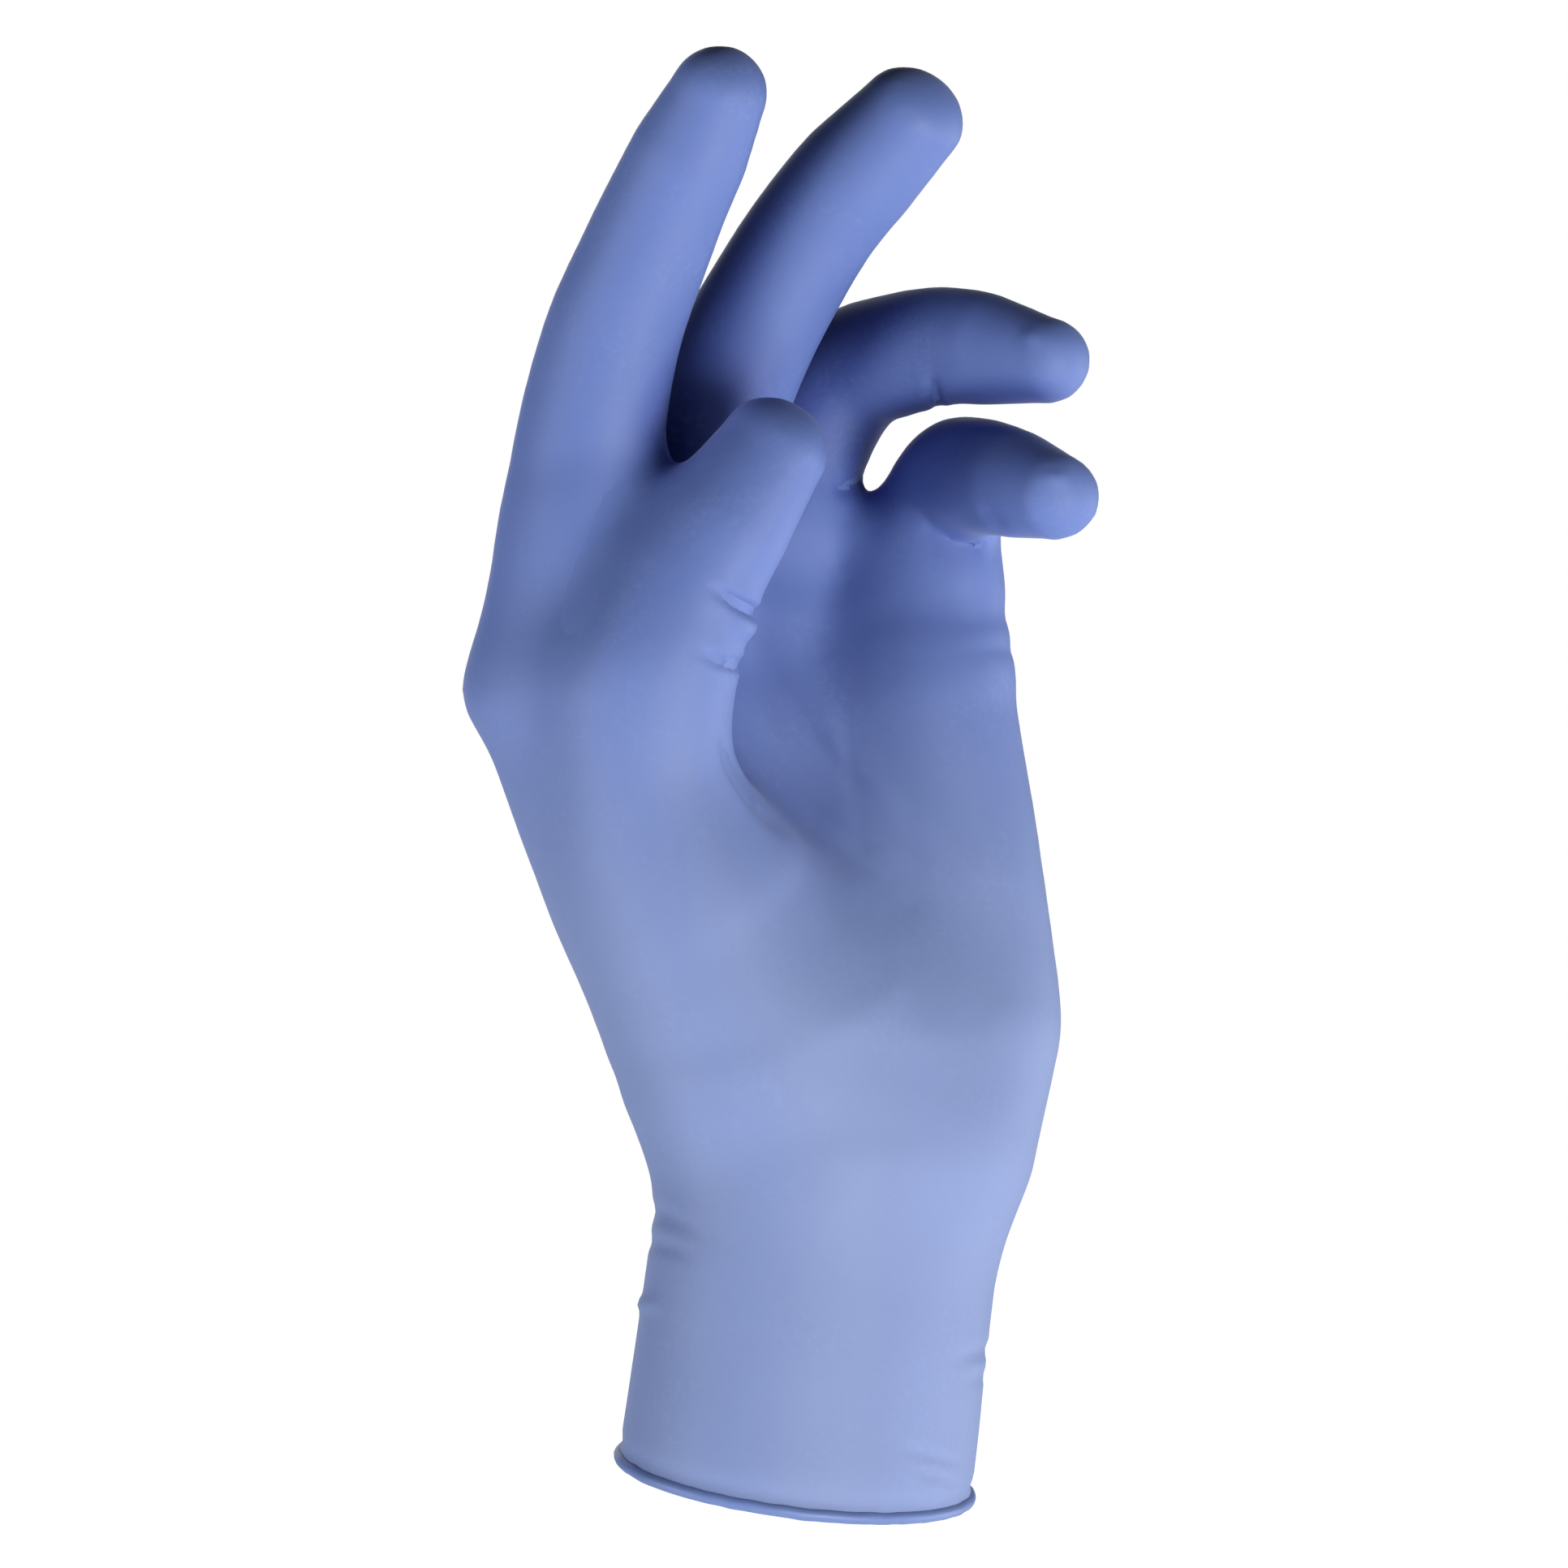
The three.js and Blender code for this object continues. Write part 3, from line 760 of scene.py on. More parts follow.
def rounded(line: Array, rounds: int = 3) -> Array:
    """Cuts the corners of a line again and again, and keeps its two ends.

    Args:
        line: its points.
        rounds: how many times the corners are cut.

    Returns:
        The points of the rounded line.
    """
    for _ in range(rounds):
        near = 0.75 * line[:-1] + 0.25 * line[1:]
        far = 0.25 * line[:-1] + 0.75 * line[1:]
        inner = np.stack([near, far], axis=1).reshape(-1, 2)
        line = np.concatenate([line[:1], inner[1:-1], line[-1:]])
    return line


SHOULDER_SPREAD = 3.2


@dataclass(frozen=True)
class Fold:
    """A crease or ridge in the film, by its line as seen in the main view.

    It lies on the named parts of the glove, or on all of them where none is named.
    """

    on: tuple[Region, ...]
    height: float
    width: float
    line: tuple[tuple[float, float], ...]
    taper: float = 0.4
    open_start: bool = False
    shoulder: float = 0.35

    def lift(self, points: Array) -> Array:
        """How far the fold lifts each point off the skin.

        Args:
            points: places on the skin, in millimetres.

        Returns:
            Heights in millimetres: a crease has raised shoulders, a ridge has none.
        """
        flat = points[:, [0, 2]]
        line = rounded(np.array(self.line, float))
        lengths = np.linalg.norm(np.diff(line, axis=0), axis=1)
        total = lengths.sum()
        best = np.full(len(points), np.inf)
        run = np.zeros(len(points))
        done = 0.0
        for start, end, length in zip(line[:-1], line[1:], lengths):
            along = end - start
            t = np.clip(((flat - start) @ along) / length**2, 0, 1)
            gap = np.linalg.norm(flat - start - t[:, None] * along, axis=1)
            closer = gap < best
            best[closer] = gap[closer]
            run[closer] = done + t[closer] * length
            done += length
        share = run / total
        fade = smooth_step(0, self.taper, 1 - share)
        if not self.open_start:
            fade = fade * smooth_step(0, self.taper, share)
        across = (best / self.width) ** 2
        shape = np.exp(-across)
        if self.height < 0:
            shape = shape - self.shoulder * np.exp(-across / SHOULDER_SPREAD)
        return self.height * shape * fade


THUMB = (Region.THUMB,)
PALM = (Region.PALM,)
RING = (Region.RING,)
LITTLE = (Region.LITTLE,)
CUFF = (Region.CUFF,)
FOLDS = (
    Fold(THUMB, -3.2, 0.9, ((-6.0, 138.0), (-9.5, 139.8), (-14.4, 143.2)), 0.9, True),
    Fold(THUMB, 1.2, 1.8, ((-6.5, 135.4), (-9.5, 136.2), (-12.5, 137.4)), 0.9, True),
    Fold(THUMB, -2.6, 0.9, ((-7.0, 129.4), (-12.5, 130.6), (-16.5, 132.8)), 0.9, True),
    Fold(
        (*THUMB, *PALM),
        -1.8,
        1.2,
        ((-12.2, 121.5), (-10.8, 116.5), (-9.9, 113.5), (-5.3, 106.3), (-0.5, 101.9)),
    ),
    Fold(THUMB, 0.4, 1.3, ((0.7, 172), (3.4, 166.3), (4, 158.5))),
    Fold(
        (Region.INDEX, *THUMB, *PALM),
        -1.5,
        4.5,
        ((-24, 172), (-27, 160), (-32.2, 147.3), (-36.5, 135.3), (-35, 124)),
    ),
    Fold(PALM, 1.2, 2.8, ((-6, 136), (4, 121), (15.7, 108), (27, 98))),
    Fold(PALM, 1.0, 2.4, ((-9, 129), (2, 114.5), (14, 102), (26, 92))),
    Fold(PALM, 0.9, 2.4, ((-8, 122), (1.4, 108.4), (14.4, 95.8), (24.8, 86.7))),
    Fold((), 0.7, 4.5, ((-2.9, 105.6), (5, 100.5), (12, 95), (16, 89))),
    Fold(
        (*PALM, *LITTLE),
        2.4,
        6.0,
        ((25, 153), (29.5, 146), (32.5, 140), (34, 133), (34.5, 122)),
        0.45,
    ),
    Fold(RING, -0.5, 1.0, ((17, 170.7), (15.2, 165.2), (12.2, 161.9))),
    Fold((*RING, *PALM), -1.0, 1.6, ((5.3, 158.5), (9, 158.5), (13.0, 161.7)), 0.3),
    Fold(RING, -1.4, 1.0, ((22.8, 172.0), (21.8, 175.4), (22.2, 178)), 0.9, True),
    Fold(RING, 0.4, 1.2, ((35.8, 182), (37.6, 182.6), (39.5, 183))),
    Fold(LITTLE, -0.6, 1.3, ((28.7, 155.2), (31.9, 153.5), (34.6, 151.3))),
    Fold(LITTLE, 0.4, 1.2, ((38.6, 159.2), (41.7, 159.9), (44.9, 160))),
    Fold(CUFF, -1.0, 1.4, ((-25.3, 43.4), (-19.8, 41.8), (-12.3, 37.6)), 0.9, True),
    Fold(CUFF, -0.8, 1.2, ((-25.1, 38.1), (-19.5, 36.9), (-14, 34.6)), 0.9, True),
    Fold(CUFF, 0.9, 1.1, ((-26.0, 27.8), (-23.5, 27.9), (-20.0, 27.4)), 0.9, True),
    Fold(CUFF, -1.0, 1.2, ((33.3, 20.6), (28, 19.6), (23.5, 17.6)), 0.9, True),
    Fold(CUFF, -0.6, 1.0, ((33.3, 16.6), (28, 15.4), (25, 14.2)), 0.9, True),
    Fold(CUFF, -0.5, 0.9, ((15.7, 5.1), (22.2, 3.5), (28.1, 1.4))),
    Fold(CUFF, -0.4, 0.9, ((17.7, 1.6), (23.2, 0.2), (28.8, -2.0))),
)


@dataclass(frozen=True)
class Taut:
    """A patch of the palm where the stretched film bridges a hollow of the hand."""

    across: float
    up: float
    half_across: float
    half_up: float

    def share(self, points: Array) -> Array:
        """How far each point belongs to the patch.

        Args:
            points: places on the skin, in millimetres.

        Returns:
            Shares from 0 to 1.
        """
        wide = (points[:, 0] - self.across) / self.half_across
        high = (points[:, 2] - self.up) / self.half_up
        return np.exp(-(wide**2) - high**2)


TAUT = (Taut(18, 83, 13, 16), Taut(24, 122, 9, 16), Taut(20, 150, 6, 6))


@dataclass(frozen=True)
class Rim:
    """The tilted plane of the cuff's opening, through the origin."""

    roll: float = 10
    pitch: float = 11

    def turned(self, direction: Sequence[float]) -> Array:
        """A direction turned from level into the rim's plane.

        Args:
            direction: the direction while the rim is level.

        Returns:
            The turned direction.
        """
        roll, pitch = math.radians(self.roll), math.radians(self.pitch)
        about_x = np.array(
            [[1, 0, 0], [0, math.cos(pitch), -math.sin(pitch)], [0, math.sin(pitch), math.cos(pitch)]]
        )
        about_y = np.array(
            [[math.cos(roll), 0, math.sin(roll)], [0, 1, 0], [-math.sin(roll), 0, math.cos(roll)]]
        )
        return about_y @ about_x @ np.asarray(direction, float)

    @property
    def normal(self) -> Array:
        """The way up out of the rim's plane."""
        return self.turned((0, 0, 1))


class Neighbours:
    """The points that each point of a closed mesh is joined to."""

    def __init__(self, faces: Array) -> None:
        """Keeps the mesh's edges, once in each direction.

        Args:
            faces: the mesh's four-sided faces.
        """
        self.start = faces.ravel()
        self.end = np.roll(faces, -1, axis=1).ravel()
        self.total = np.bincount(self.start)

    def mean(self, values: Array) -> Array:
        """The mean over the neighbours of each point.

        Args:
            values: a number or a row of numbers for each point.

        Returns:
            The means, in the same form.
        """
        if values.ndim == 1:
            return np.bincount(self.start, weights=values[self.end]) / self.total
        return np.stack([self.mean(column) for column in values.T], axis=1)

    def smoothed(self, points: Array, rounds: int) -> Array:
        """Evens out small kinks in the mesh without making it smaller.

        Args:
            points: the mesh's points.
            rounds: how many times each point moves towards its neighbours and back.

        Returns:
            The moved points.
        """
        for _ in range(rounds):
            for pull in (0.5, -0.52):
                points = points + pull * (self.mean(points) - points)
        return points


def new_mesh(name: str, points: Array, faces: Sequence[Sequence[int]]) -> bpy.types.Object:
    """Makes a smooth object from points in millimetres.

    Args:
        name: the object's name.
        points: its points, in millimetres.
        faces: its faces.

    Returns:
        The object, linked to the scene, in metres.
    """
    mesh = bpy.data.meshes.new(name)
    mesh.from_pydata((points * MM).tolist(), [], [list(face) for face in faces])
    mesh.polygons.foreach_set("use_smooth", [True] * len(mesh.polygons))
    mesh.update()
    piece = bpy.data.objects.new(name, mesh)
    bpy.context.scene.collection.objects.link(piece)
    return piece


def dress(piece: bpy.types.Object, material: bpy.types.Material) -> None:
    """Gives a piece its material and body, and hides the CAD part that it replaces.

    Args:
        piece: the piece.
        material: its material.
    """
    piece.data.materials.clear()
    piece.data.materials.append(material)
    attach(piece, "root")
    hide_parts(NODE)


@dataclass
class Film:
    """The dipped film: its outer skin with all its folds, and a plainer inner skin.

    The two steps are the spacing of the meshes, which together stay under 200,000 triangles.
    """

    form: HandForm
    rim: Rim
    outer_step: float = 1.0
    inner_step: float = 2.2
    thickness: float = 0.5
    low: tuple[float, float, float] = (-60.0, -46.0, -14.0)
    high: tuple[float, float, float] = (58.0, 42.0, 236.0)
    # How far out painted shade is measured, and how often it is smoothed.
    shade_reaches: tuple[float, ...] = (5.0, 10.0, 16.0)
    shade_rounds: int = 32
    taut_rounds: int = 324
    rounds: int = 49
    palm_rounds: int = 105
    palm_top: tuple[float, float] = (104, 126)
    fold_reach: tuple[float, float] = (3, 8)
    slack: float = 0.16
    slack_scale: float = 0.07
    neck_depth: float = 0.35
    neck_height: float = 2.2
    neck_width: float = 1.1

    def build(self) -> bpy.types.Object:
        """Builds the film.

        Returns:
            The object, open at the rim.
        """
        points, faces = self._skin(self.outer_step, 0)
        near = Neighbours(faces)
        fine = near.smoothed(points, self.rounds)
        even = near.smoothed(fine, self.palm_rounds)
        palm = 1 - smooth_step(*self.palm_top, points[:, 2])
        points = self._folded(self._bridged(fine + (even - fine) * palm[:, None], near))
        inner_points, inner_faces = self._skin(self.inner_step, -self.thickness)
        LOG.info("outer skin %d faces, inner skin %d faces", len(faces), len(inner_faces))
        merged = np.concatenate([points, inner_points])
        both = np.concatenate([faces, inner_faces[:, ::-1] + len(points)])
        piece = new_mesh("glove_film", merged, both)
        self._mark_painted_shade(piece, points, near)
        self._open_at_rim(piece)
        return piece

    def _skin(self, step: float, level: float) -> tuple[Array, Array]:
        """One skin of the film.

        Args:
            step: spacing of its points, in millimetres.
            level: its distance from the form.

        Returns:
            Its points in millimetres and its faces.
        """
        coarse = 1
        room = np.array(self.low), np.array(self.high)
        return SkinMesher(self.form, step * coarse, level, *room).mesh()

    def _bridged(self, points: Array, near: Neighbours) -> Array:
        """Lifts the film off the hollows that it is stretched over, and never presses it in.

        Args:
            points: the outer skin's points.
            near: their neighbours.

        Returns:
            The moved points.
        """
        normal = self.form.outward(points)
        share = np.max([patch.share(points) for patch in TAUT], axis=0)
        share = share * smooth_step(-0.1, 0.4, -normal[:, 1])
        for _ in range(self.taut_rounds):
            out = np.maximum(((near.mean(points) - points) * normal).sum(1), 0)
            points = points + normal * (out * share)[:, None]
        return points

    def _mark_painted_shade(self, piece: bpy.types.Object, points: Array, near: Neighbours) -> None:
        """Marks painted shade: how closely other parts of the film stand in front of the outer skin.

        Args:
            piece: the film, whose first points are the outer skin's.
            points: the outer skin's points.
            near: their neighbours.
        """
        normal = self.form.outward(points)
        # Painted shade: the share of nearby room taken up by other parts of the form, where the
        # material darkens the film.
        outer = np.zeros(len(points))
        for away in self.shade_reaches:
            room = self.form(points + normal * away)
            outer += np.clip(1 - room / away, 0, 1) / len(self.shade_reaches)
        for _ in range(self.shade_rounds):
            outer = near.mean(outer)
        closed = np.zeros(len(piece.data.vertices), np.float32)
        closed[: len(points)] = outer
        layer = piece.data.attributes.new(PAINTED_SHADE_LAYER, "FLOAT", "POINT")
        layer.data.foreach_set("value", closed)

    def _folded(self, points: Array) -> Array:
        """Lifts the outer skin's points by the folds, the slack and the neck above the bead.

        Args:
            points: the outer skin's points.

        Returns:
            The moved points.
        """
        normal = self.form.outward(points)
        gaps = self.form.regions(points)
        front = smooth_step(-0.3, 0.2, -normal[:, 1])
        lift = np.zeros(len(points))
        for fold in FOLDS:
            rise = fold.lift(points) * front
            if fold.on:
                gap = np.min([gaps[region] for region in fold.on], axis=0)
                rise = rise * (1 - smooth_step(*self.fold_reach, gap))
            lift += rise
        wave = [noise.noise(Vector(p) * self.slack_scale) for p in points.tolist()]
        lift += self.slack * np.array(wave)
        above = points @ self.rim.normal
        lift -= self.neck_depth * np.exp(-(((above - self.neck_height) / self.neck_width) ** 2))
        return points + normal * lift[:, None]

    def _open_at_rim(self, piece: bpy.types.Object) -> None:
        """Cuts away what lies below the rim."""
        mesh = bmesh.new()
        mesh.from_mesh(piece.data)
        everything = [*mesh.verts, *mesh.edges, *mesh.faces]
        bmesh.ops.bisect_plane(
            mesh,
            geom=everything,
            plane_co=(0, 0, 0),
            plane_no=Vector(self.rim.normal),
            clear_inner=True,
        )
        mesh.to_mesh(piece.data)
        mesh.free()
        piece.data.polygons.foreach_set("use_smooth", [True] * len(piece.data.polygons))


@dataclass
class Bead:
    """The rolled edge round the opening."""

    form: HandForm
    rim: Rim
    diameter: float = 2.0
    steps: int = 240
    sides: int = 16
    proud: float = 0.35
    sunk: float = 0.25
    waver: float = 0.12
    waver_scale: float = 0.3
    swell: float = 0.06
    swell_scale: float = 0.5

    def build(self) -> bpy.types.Object:
        """Builds the bead as a closed ring.

        Returns:
            The object.
        """
        points = []
        faces = []
        up = self.rim.normal
        for i in range(self.steps):
            angle = 2 * math.pi * i / self.steps
            out = self.rim.turned((math.cos(angle), math.sin(angle), 0))
            middle = out * (self._reach(out) + self.proud - self.diameter * self.sunk)
            wave = noise.noise(Vector(middle) * self.waver_scale)
            middle = middle + up * self.waver * wave
            swell = self.swell * noise.noise(Vector(middle) * self.swell_scale)
            radius = self.diameter / 2 * (1 + swell)
            for j in range(self.sides):
                turn = 2 * math.pi * j / self.sides
                points.append(middle + radius * (out * math.cos(turn) + up * math.sin(turn)))
            for j in range(self.sides):
                following, beside = (i + 1) % self.steps, (j + 1) % self.sides
                faces.append(
                    [
                        i * self.sides + j,
                        following * self.sides + j,
                        following * self.sides + beside,
                        i * self.sides + beside,
                    ]
                )
        return new_mesh("cuff_bead", np.array(points), faces)

    def _reach(self, out: Array) -> float:
        """How far out the film lies along the rim's plane."""
        near, far = 0.0, self.form.cuff_width
        while far - near > 1e-4:
            middle = (near + far) / 2
            if self.form((out * middle)[None])[0] < 0:
                near = middle
            else:
                far = middle
        return near


class NodeTree:
    """A short way to add and join nodes in a tree."""

    def __init__(self, tree: bpy.types.NodeTree) -> None:
        """Keeps the tree."""
        self.tree = tree

    def add(self, kind: str, **values: object) -> bpy.types.Node:
        """Adds a node.

        Args:
            kind: the node's type.
            **values: attributes of the node, or values of its inputs by name.

        Returns:
            The node.
        """
        node = self.tree.nodes.new(kind)
        for name, value in values.items():
            if hasattr(node, name):
                setattr(node, name, value)
            else:
                node.inputs[name.replace("_", " ")].default_value = value
        return node

    def join(self, source: bpy.types.NodeSocket, target: bpy.types.NodeSocket) -> None:
        """Joins an output to an input.

        Args:
            source: the output.
            target: the input.
        """
        self.tree.links.new(source, target)

    def ramp(self, value: bpy.types.NodeSocket, **limits: object) -> bpy.types.NodeSocket:
        """Maps a value from one range to another.

        Args:
            value: what to map.
            **limits: the range node's values.

        Returns:
            The mapped value.
        """
        node = self.add("ShaderNodeMapRange", **limits)
        self.join(value, node.inputs["Value"])
        return node.outputs["Result"]

    def figure(self, operation: str, *terms: bpy.types.NodeSocket | float) -> bpy.types.NodeSocket:
        """Works out a sum or a product.

        Args:
            operation: the kind of sum.
            *terms: outputs or plain numbers.

        Returns:
            The result.
        """
        node = self.add("ShaderNodeMath", operation=operation)
        for target, term in zip(node.inputs, terms):
            if isinstance(term, bpy.types.NodeSocket):
                self.join(term, target)
            else:
                target.default_value = term
        return node.outputs[0]

    def blend(
        self, share: bpy.types.NodeSocket, one: bpy.types.NodeSocket, other: bpy.types.NodeSocket
    ) -> bpy.types.NodeSocket:
        """Mixes two colours.

        Args:
            share: how much of the second colour there is.
            one: the first colour.
            other: the second colour.

        Returns:
            The mixed colour.
        """
        node = self.add("ShaderNodeMix", data_type="RGBA")
        for source, target in zip((share, one, other), ("Factor", 6, 7)):
            self.join(source, node.inputs[target])
        return node.outputs[2]


def film_group() -> bpy.types.NodeTree:
    """The look that film and bead share.

    The film is paler towards the cuff and darker where other parts stand close before it, which is
    painted shade. A powdery mottle and a fine relief lie over that.

    Returns:
        A shader node group with the outputs Color, Roughness and Height.
    """
    tree = bpy.data.node_groups.new("powder_and_painted_shade", "ShaderNodeTree")
    for name in TINTS:
        tree.interface.new_socket(name, in_out="INPUT", socket_type="NodeSocketColor")
    for name in AMOUNTS:
        tree.interface.new_socket(name, in_out="INPUT", socket_type="NodeSocketFloat")
    tree.interface.new_socket("Color", in_out="OUTPUT", socket_type="NodeSocketColor")
    for name in ("Roughness", "Height"):
        tree.interface.new_socket(name, in_out="OUTPUT", socket_type="NodeSocketFloat")
    nodes = NodeTree(tree)
    inlet = nodes.add("NodeGroupInput").outputs
    outlet = nodes.add("NodeGroupOutput").inputs
    place = nodes.add("ShaderNodeTexCoord").outputs["Object"]
    cloud = nodes.add("ShaderNodeTexNoise", Scale=70.0, Detail=4.0, Roughness=0.6)
    speck = nodes.add("ShaderNodeTexNoise", Scale=900.0, Detail=3.0, Roughness=0.65)
    grain = nodes.add("ShaderNodeTexNoise", Scale=2600.0, Detail=2.0, Roughness=0.5)
    for texture in (cloud, speck, grain):
        nodes.join(place, texture.inputs["Vector"])
    clouds, specks, grains = (texture.outputs["Fac"] for texture in (cloud, speck, grain))
    patches = nodes.ramp(clouds, From_Min=0.42, From_Max=0.7)
    dots = nodes.ramp(specks, From_Min=0.45, From_Max=0.72)
    powdered = nodes.figure("MULTIPLY", nodes.figure("MULTIPLY", patches, dots), inlet["Mottle"])
    height = nodes.add("ShaderNodeSeparateXYZ")
    nodes.join(place, height.inputs[0])
    # Paler towards the cuff: the second tint fades in from 150 mm down to 70 mm up the glove.
    slack = nodes.ramp(
        height.outputs["Z"], From_Min=0.15, From_Max=0.07, interpolation_type="SMOOTHSTEP"
    )
    # Painted shade: the third tint is laid where other parts stand close before the film.
    close = nodes.add("ShaderNodeAttribute", attribute_name=PAINTED_SHADE_LAYER)
    depth = nodes.ramp(close.outputs["Fac"], From_Min=0.25, From_Max=0.65, To_Max=0.6)
    film = nodes.blend(slack, inlet["Film"], inlet["Low_tint"])
    film = nodes.blend(depth, film, inlet["Deep"])
    nodes.join(nodes.blend(powdered, film, inlet["Powder"]), outlet["Color"])
    nodes.join(nodes.figure("MULTIPLY_ADD", clouds, 0.16, inlet["Matt"]), outlet["Roughness"])
    nodes.join(nodes.figure("MULTIPLY_ADD", specks, 0.6, grains), outlet["Height"])
    return tree


@dataclass(frozen=True)
class NitrileFinish:
    """The matt blue film: its tints, one of them a painted shade colour, how much powder it carries
    and how matt it is.
    """

    name: str
    film: tuple[float, float, float]
    # A paler tint towards the cuff.
    low_tint: tuple[float, float, float]
    # The painted shade colour, laid where other parts stand close before the film.
    deep: tuple[float, float, float]
    powder: tuple[float, float, float]
    mottle: float
    matt: float
    sheen: float = 0.12
    bump: float = 0.12

    def material(self, group: bpy.types.NodeTree) -> bpy.types.Material:
        """Makes the material.

        Args:
            group: the shared film look.

        Returns:
            The material.
        """
        material = bpy.data.materials.new(self.name)
        material.use_nodes = True
        material.diffuse_color = (*self.film, 1)
        nodes = NodeTree(material.node_tree)
        shader = material.node_tree.nodes["Principled BSDF"]
        look = nodes.add("ShaderNodeGroup", node_tree=group)
        for name in TINTS:
            look.inputs[name].default_value = (*getattr(self, name.lower()), 1)
        for name in AMOUNTS:
            look.inputs[name].default_value = getattr(self, name.lower())
        bump = nodes.add("ShaderNodeBump", Strength=self.bump, Distance=0.0002)
        nodes.join(look.outputs["Height"], bump.inputs["Height"])
        nodes.join(look.outputs["Color"], shader.inputs["Base Color"])
        nodes.join(look.outputs["Roughness"], shader.inputs["Roughness"])
        nodes.join(bump.outputs["Normal"], shader.inputs["Normal"])
        shader.inputs["IOR"].default_value = 1.5
        shader.inputs["Sheen Weight"].default_value = self.sheen
        shader.inputs["Sheen Roughness"].default_value = 0.4
        shader.inputs["Sheen Tint"].default_value = (0.75, 0.82, 1, 1)
        return material


FILM_FINISH = NitrileFinish(
    name="nitrile_film",
    film=(0.1, 0.158, 0.42),
    low_tint=(0.165, 0.225, 0.44),
    # Painted shade colour.
    deep=(0.022, 0.045, 0.26),
    powder=(0.3, 0.38, 0.62),
    mottle=0.13,
    matt=0.56,
)
BEAD_FINISH = NitrileFinish(
    name="nitrile_bead",
    film=(0.08, 0.135, 0.38),
    low_tint=(0.115, 0.175, 0.4),
    # Painted shade colour; the bead has no shade layer, so it never shows.
    deep=(0.03, 0.06, 0.26),
    powder=(0.25, 0.33, 0.6),
    mottle=0.06,
    matt=0.42,
)


@dataclass(frozen=True)
class Lamp:
    """A square soft light: its place and side in metres, its power in watts and its colour."""

    name: str
    place: tuple[float, float, float]
    size: float
    power: float
    colour: tuple[float, float, float] = (1.0, 1.0, 1.0)


LAMPS = (
    Lamp("key", (0.8, -0.9, -0.22), 0.5, 15.5, (1.0, 0.98, 0.95)),
    Lamp("fill", (-1.0, -0.45, -0.1), 0.6, 8, (0.95, 0.97, 1.0)),
    Lamp("rim", (1.1, 0.5, -0.1), 0.6, 5.5),
    Lamp("back", (-0.3, 1.4, 0.5), 0.9, 5),
)


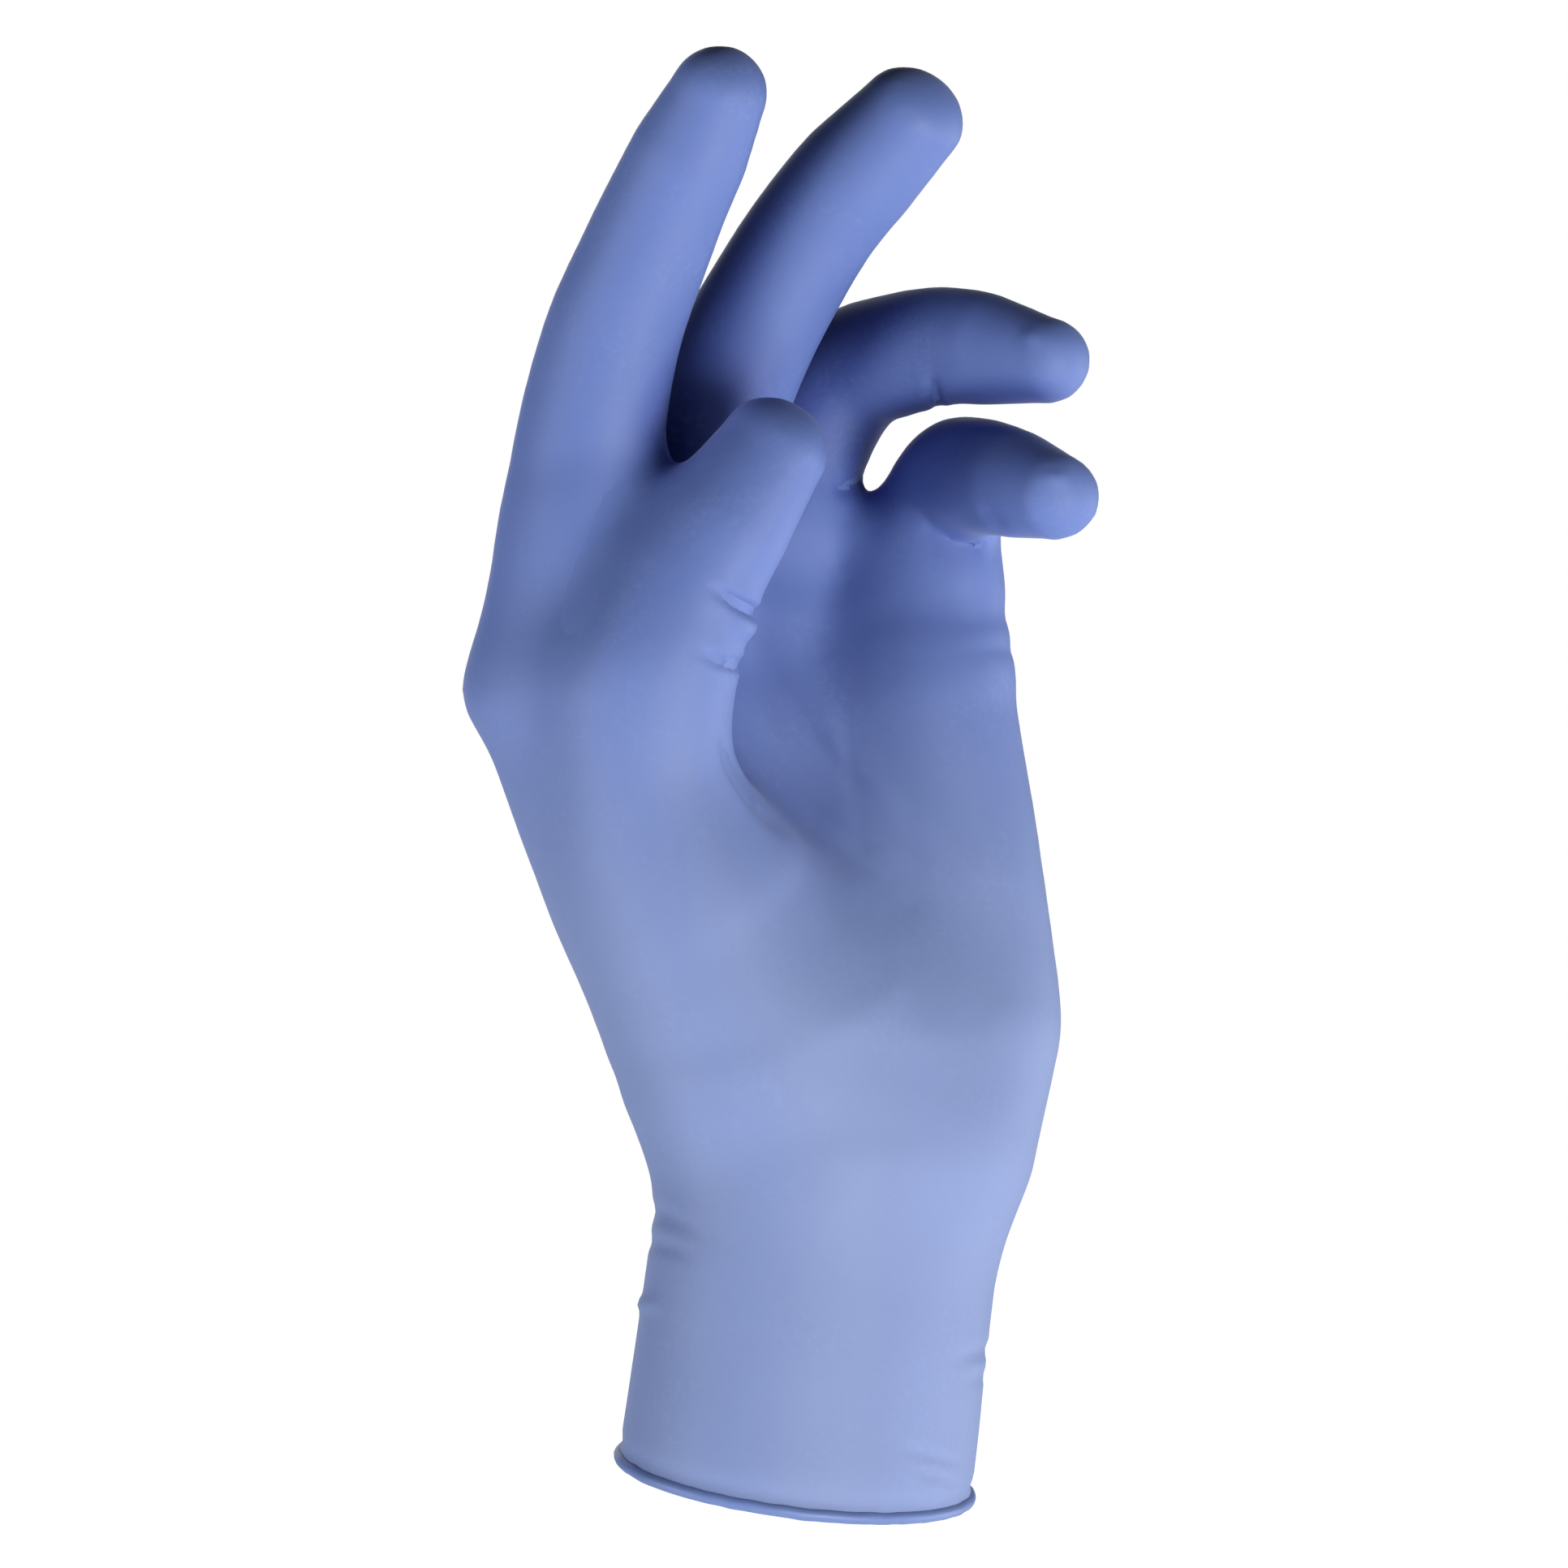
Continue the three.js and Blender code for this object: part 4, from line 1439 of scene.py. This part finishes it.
@dataclass
class Studio:
    """The plain pale floor, the soft lights and the camera."""

    middle: tuple[float, float, float] = (-0.0017, 0.0, 0.1109)
    frame_size: float = 0.2512
    distance: float = 6.0
    floor_height: float = -0.5
    floor_light: float = 0.35
    floor_seen: float = 1.05
    surround_light: float = 0.04

    def build(self) -> None:
        """Sets up floor, world, lights and camera."""
        self._floor()
        self._world()
        for lamp in LAMPS:
            self._light(lamp)
        self._camera()
        bpy.context.scene.view_settings.view_transform = "Standard"

    def _floor(self) -> None:
        """A wide pale floor below the cuff."""
        bpy.ops.mesh.primitive_plane_add(size=80, location=(0, 0, self.floor_height))
        floor = bpy.context.object
        floor.name = "floor"
        material = bpy.data.materials.new("pale_floor")
        material.use_nodes = True
        shader = material.node_tree.nodes["Principled BSDF"]
        shader.inputs["Base Color"].default_value = (0.9, 0.9, 0.9, 1)
        shader.inputs["Roughness"].default_value = 0.9
        shader.inputs["Emission Color"].default_value = (1, 1, 1, 1)
        nodes = NodeTree(material.node_tree)
        path = nodes.add("ShaderNodeLightPath")
        seen = path.outputs["Is Camera Ray"]
        glow = nodes.ramp(seen, To_Min=self.floor_light, To_Max=self.floor_seen)
        nodes.join(glow, shader.inputs["Emission Strength"])
        floor.data.materials.append(material)

    def _world(self) -> None:
        """A white surround that lights the glove only softly."""
        world = bpy.data.worlds.new("surround")
        bpy.context.scene.world = world
        world.use_nodes = True
        nodes = NodeTree(world.node_tree)
        seen = nodes.add("ShaderNodeBackground", Color=(1, 1, 1, 1), Strength=1.0)
        felt = world.node_tree.nodes["Background"]
        felt.inputs["Color"].default_value = (0.93, 0.95, 1, 1)
        felt.inputs["Strength"].default_value = self.surround_light
        path = nodes.add("ShaderNodeLightPath")
        mix = nodes.add("ShaderNodeMixShader")
        nodes.join(path.outputs["Is Camera Ray"], mix.inputs[0])
        nodes.join(felt.outputs[0], mix.inputs[1])
        nodes.join(seen.outputs[0], mix.inputs[2])
        nodes.join(mix.outputs[0], world.node_tree.nodes["World Output"].inputs["Surface"])

    def _light(self, lamp: Lamp) -> None:
        """Adds a light that faces the glove and isn't seen itself.

        Args:
            lamp: what it is like.
        """
        light = bpy.data.lights.new(lamp.name, "AREA")
        light.size = lamp.size
        light.energy = lamp.power
        light.color = lamp.colour
        holder = bpy.data.objects.new(lamp.name, light)
        bpy.context.scene.collection.objects.link(holder)
        holder.location = lamp.place
        aim = Vector(self.middle) - Vector(lamp.place)
        holder.rotation_euler = aim.to_track_quat("-Z", "Y").to_euler()
        holder.visible_camera = False

    def _camera(self) -> None:
        """A level camera with a long lens, which looks along +Y."""
        camera = bpy.data.cameras.new("camera")
        camera.sensor_width = 36
        camera.lens = camera.sensor_width * self.distance / self.frame_size
        camera.clip_start, camera.clip_end = 0.1, 200
        seer = bpy.data.objects.new("camera", camera)
        bpy.context.scene.collection.objects.link(seer)
        seer.location = (self.middle[0], self.middle[1] - self.distance, self.middle[2])
        seer.rotation_euler = (math.radians(90), 0, 0)
        bpy.context.scene.camera = seer


def corners(found: tuple[Vector, Vector]) -> list[list[float]]:
    """The two corners of a box as plain lists.

    Args:
        found: its low and its high corner.

    Returns:
        The same corners as lists of numbers.
    """
    return [list(corner) for corner in found]


def main() -> None:
    """Builds the glove and its studio."""
    logging.basicConfig(level=logging.INFO, format="%(name)s: %(message)s")
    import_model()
    form, rim = HandForm(), Rim()
    group = film_group()
    for maker, finish in ((Film(form, rim), FILM_FINISH), (Bead(form, rim), BEAD_FINISH)):
        piece = maker.build()
        dress(piece, finish.material(group))
        LOG.info("%s: %d faces", piece.name, len(piece.data.polygons))
    Studio().build()


if __name__ == "__main__":
    main()
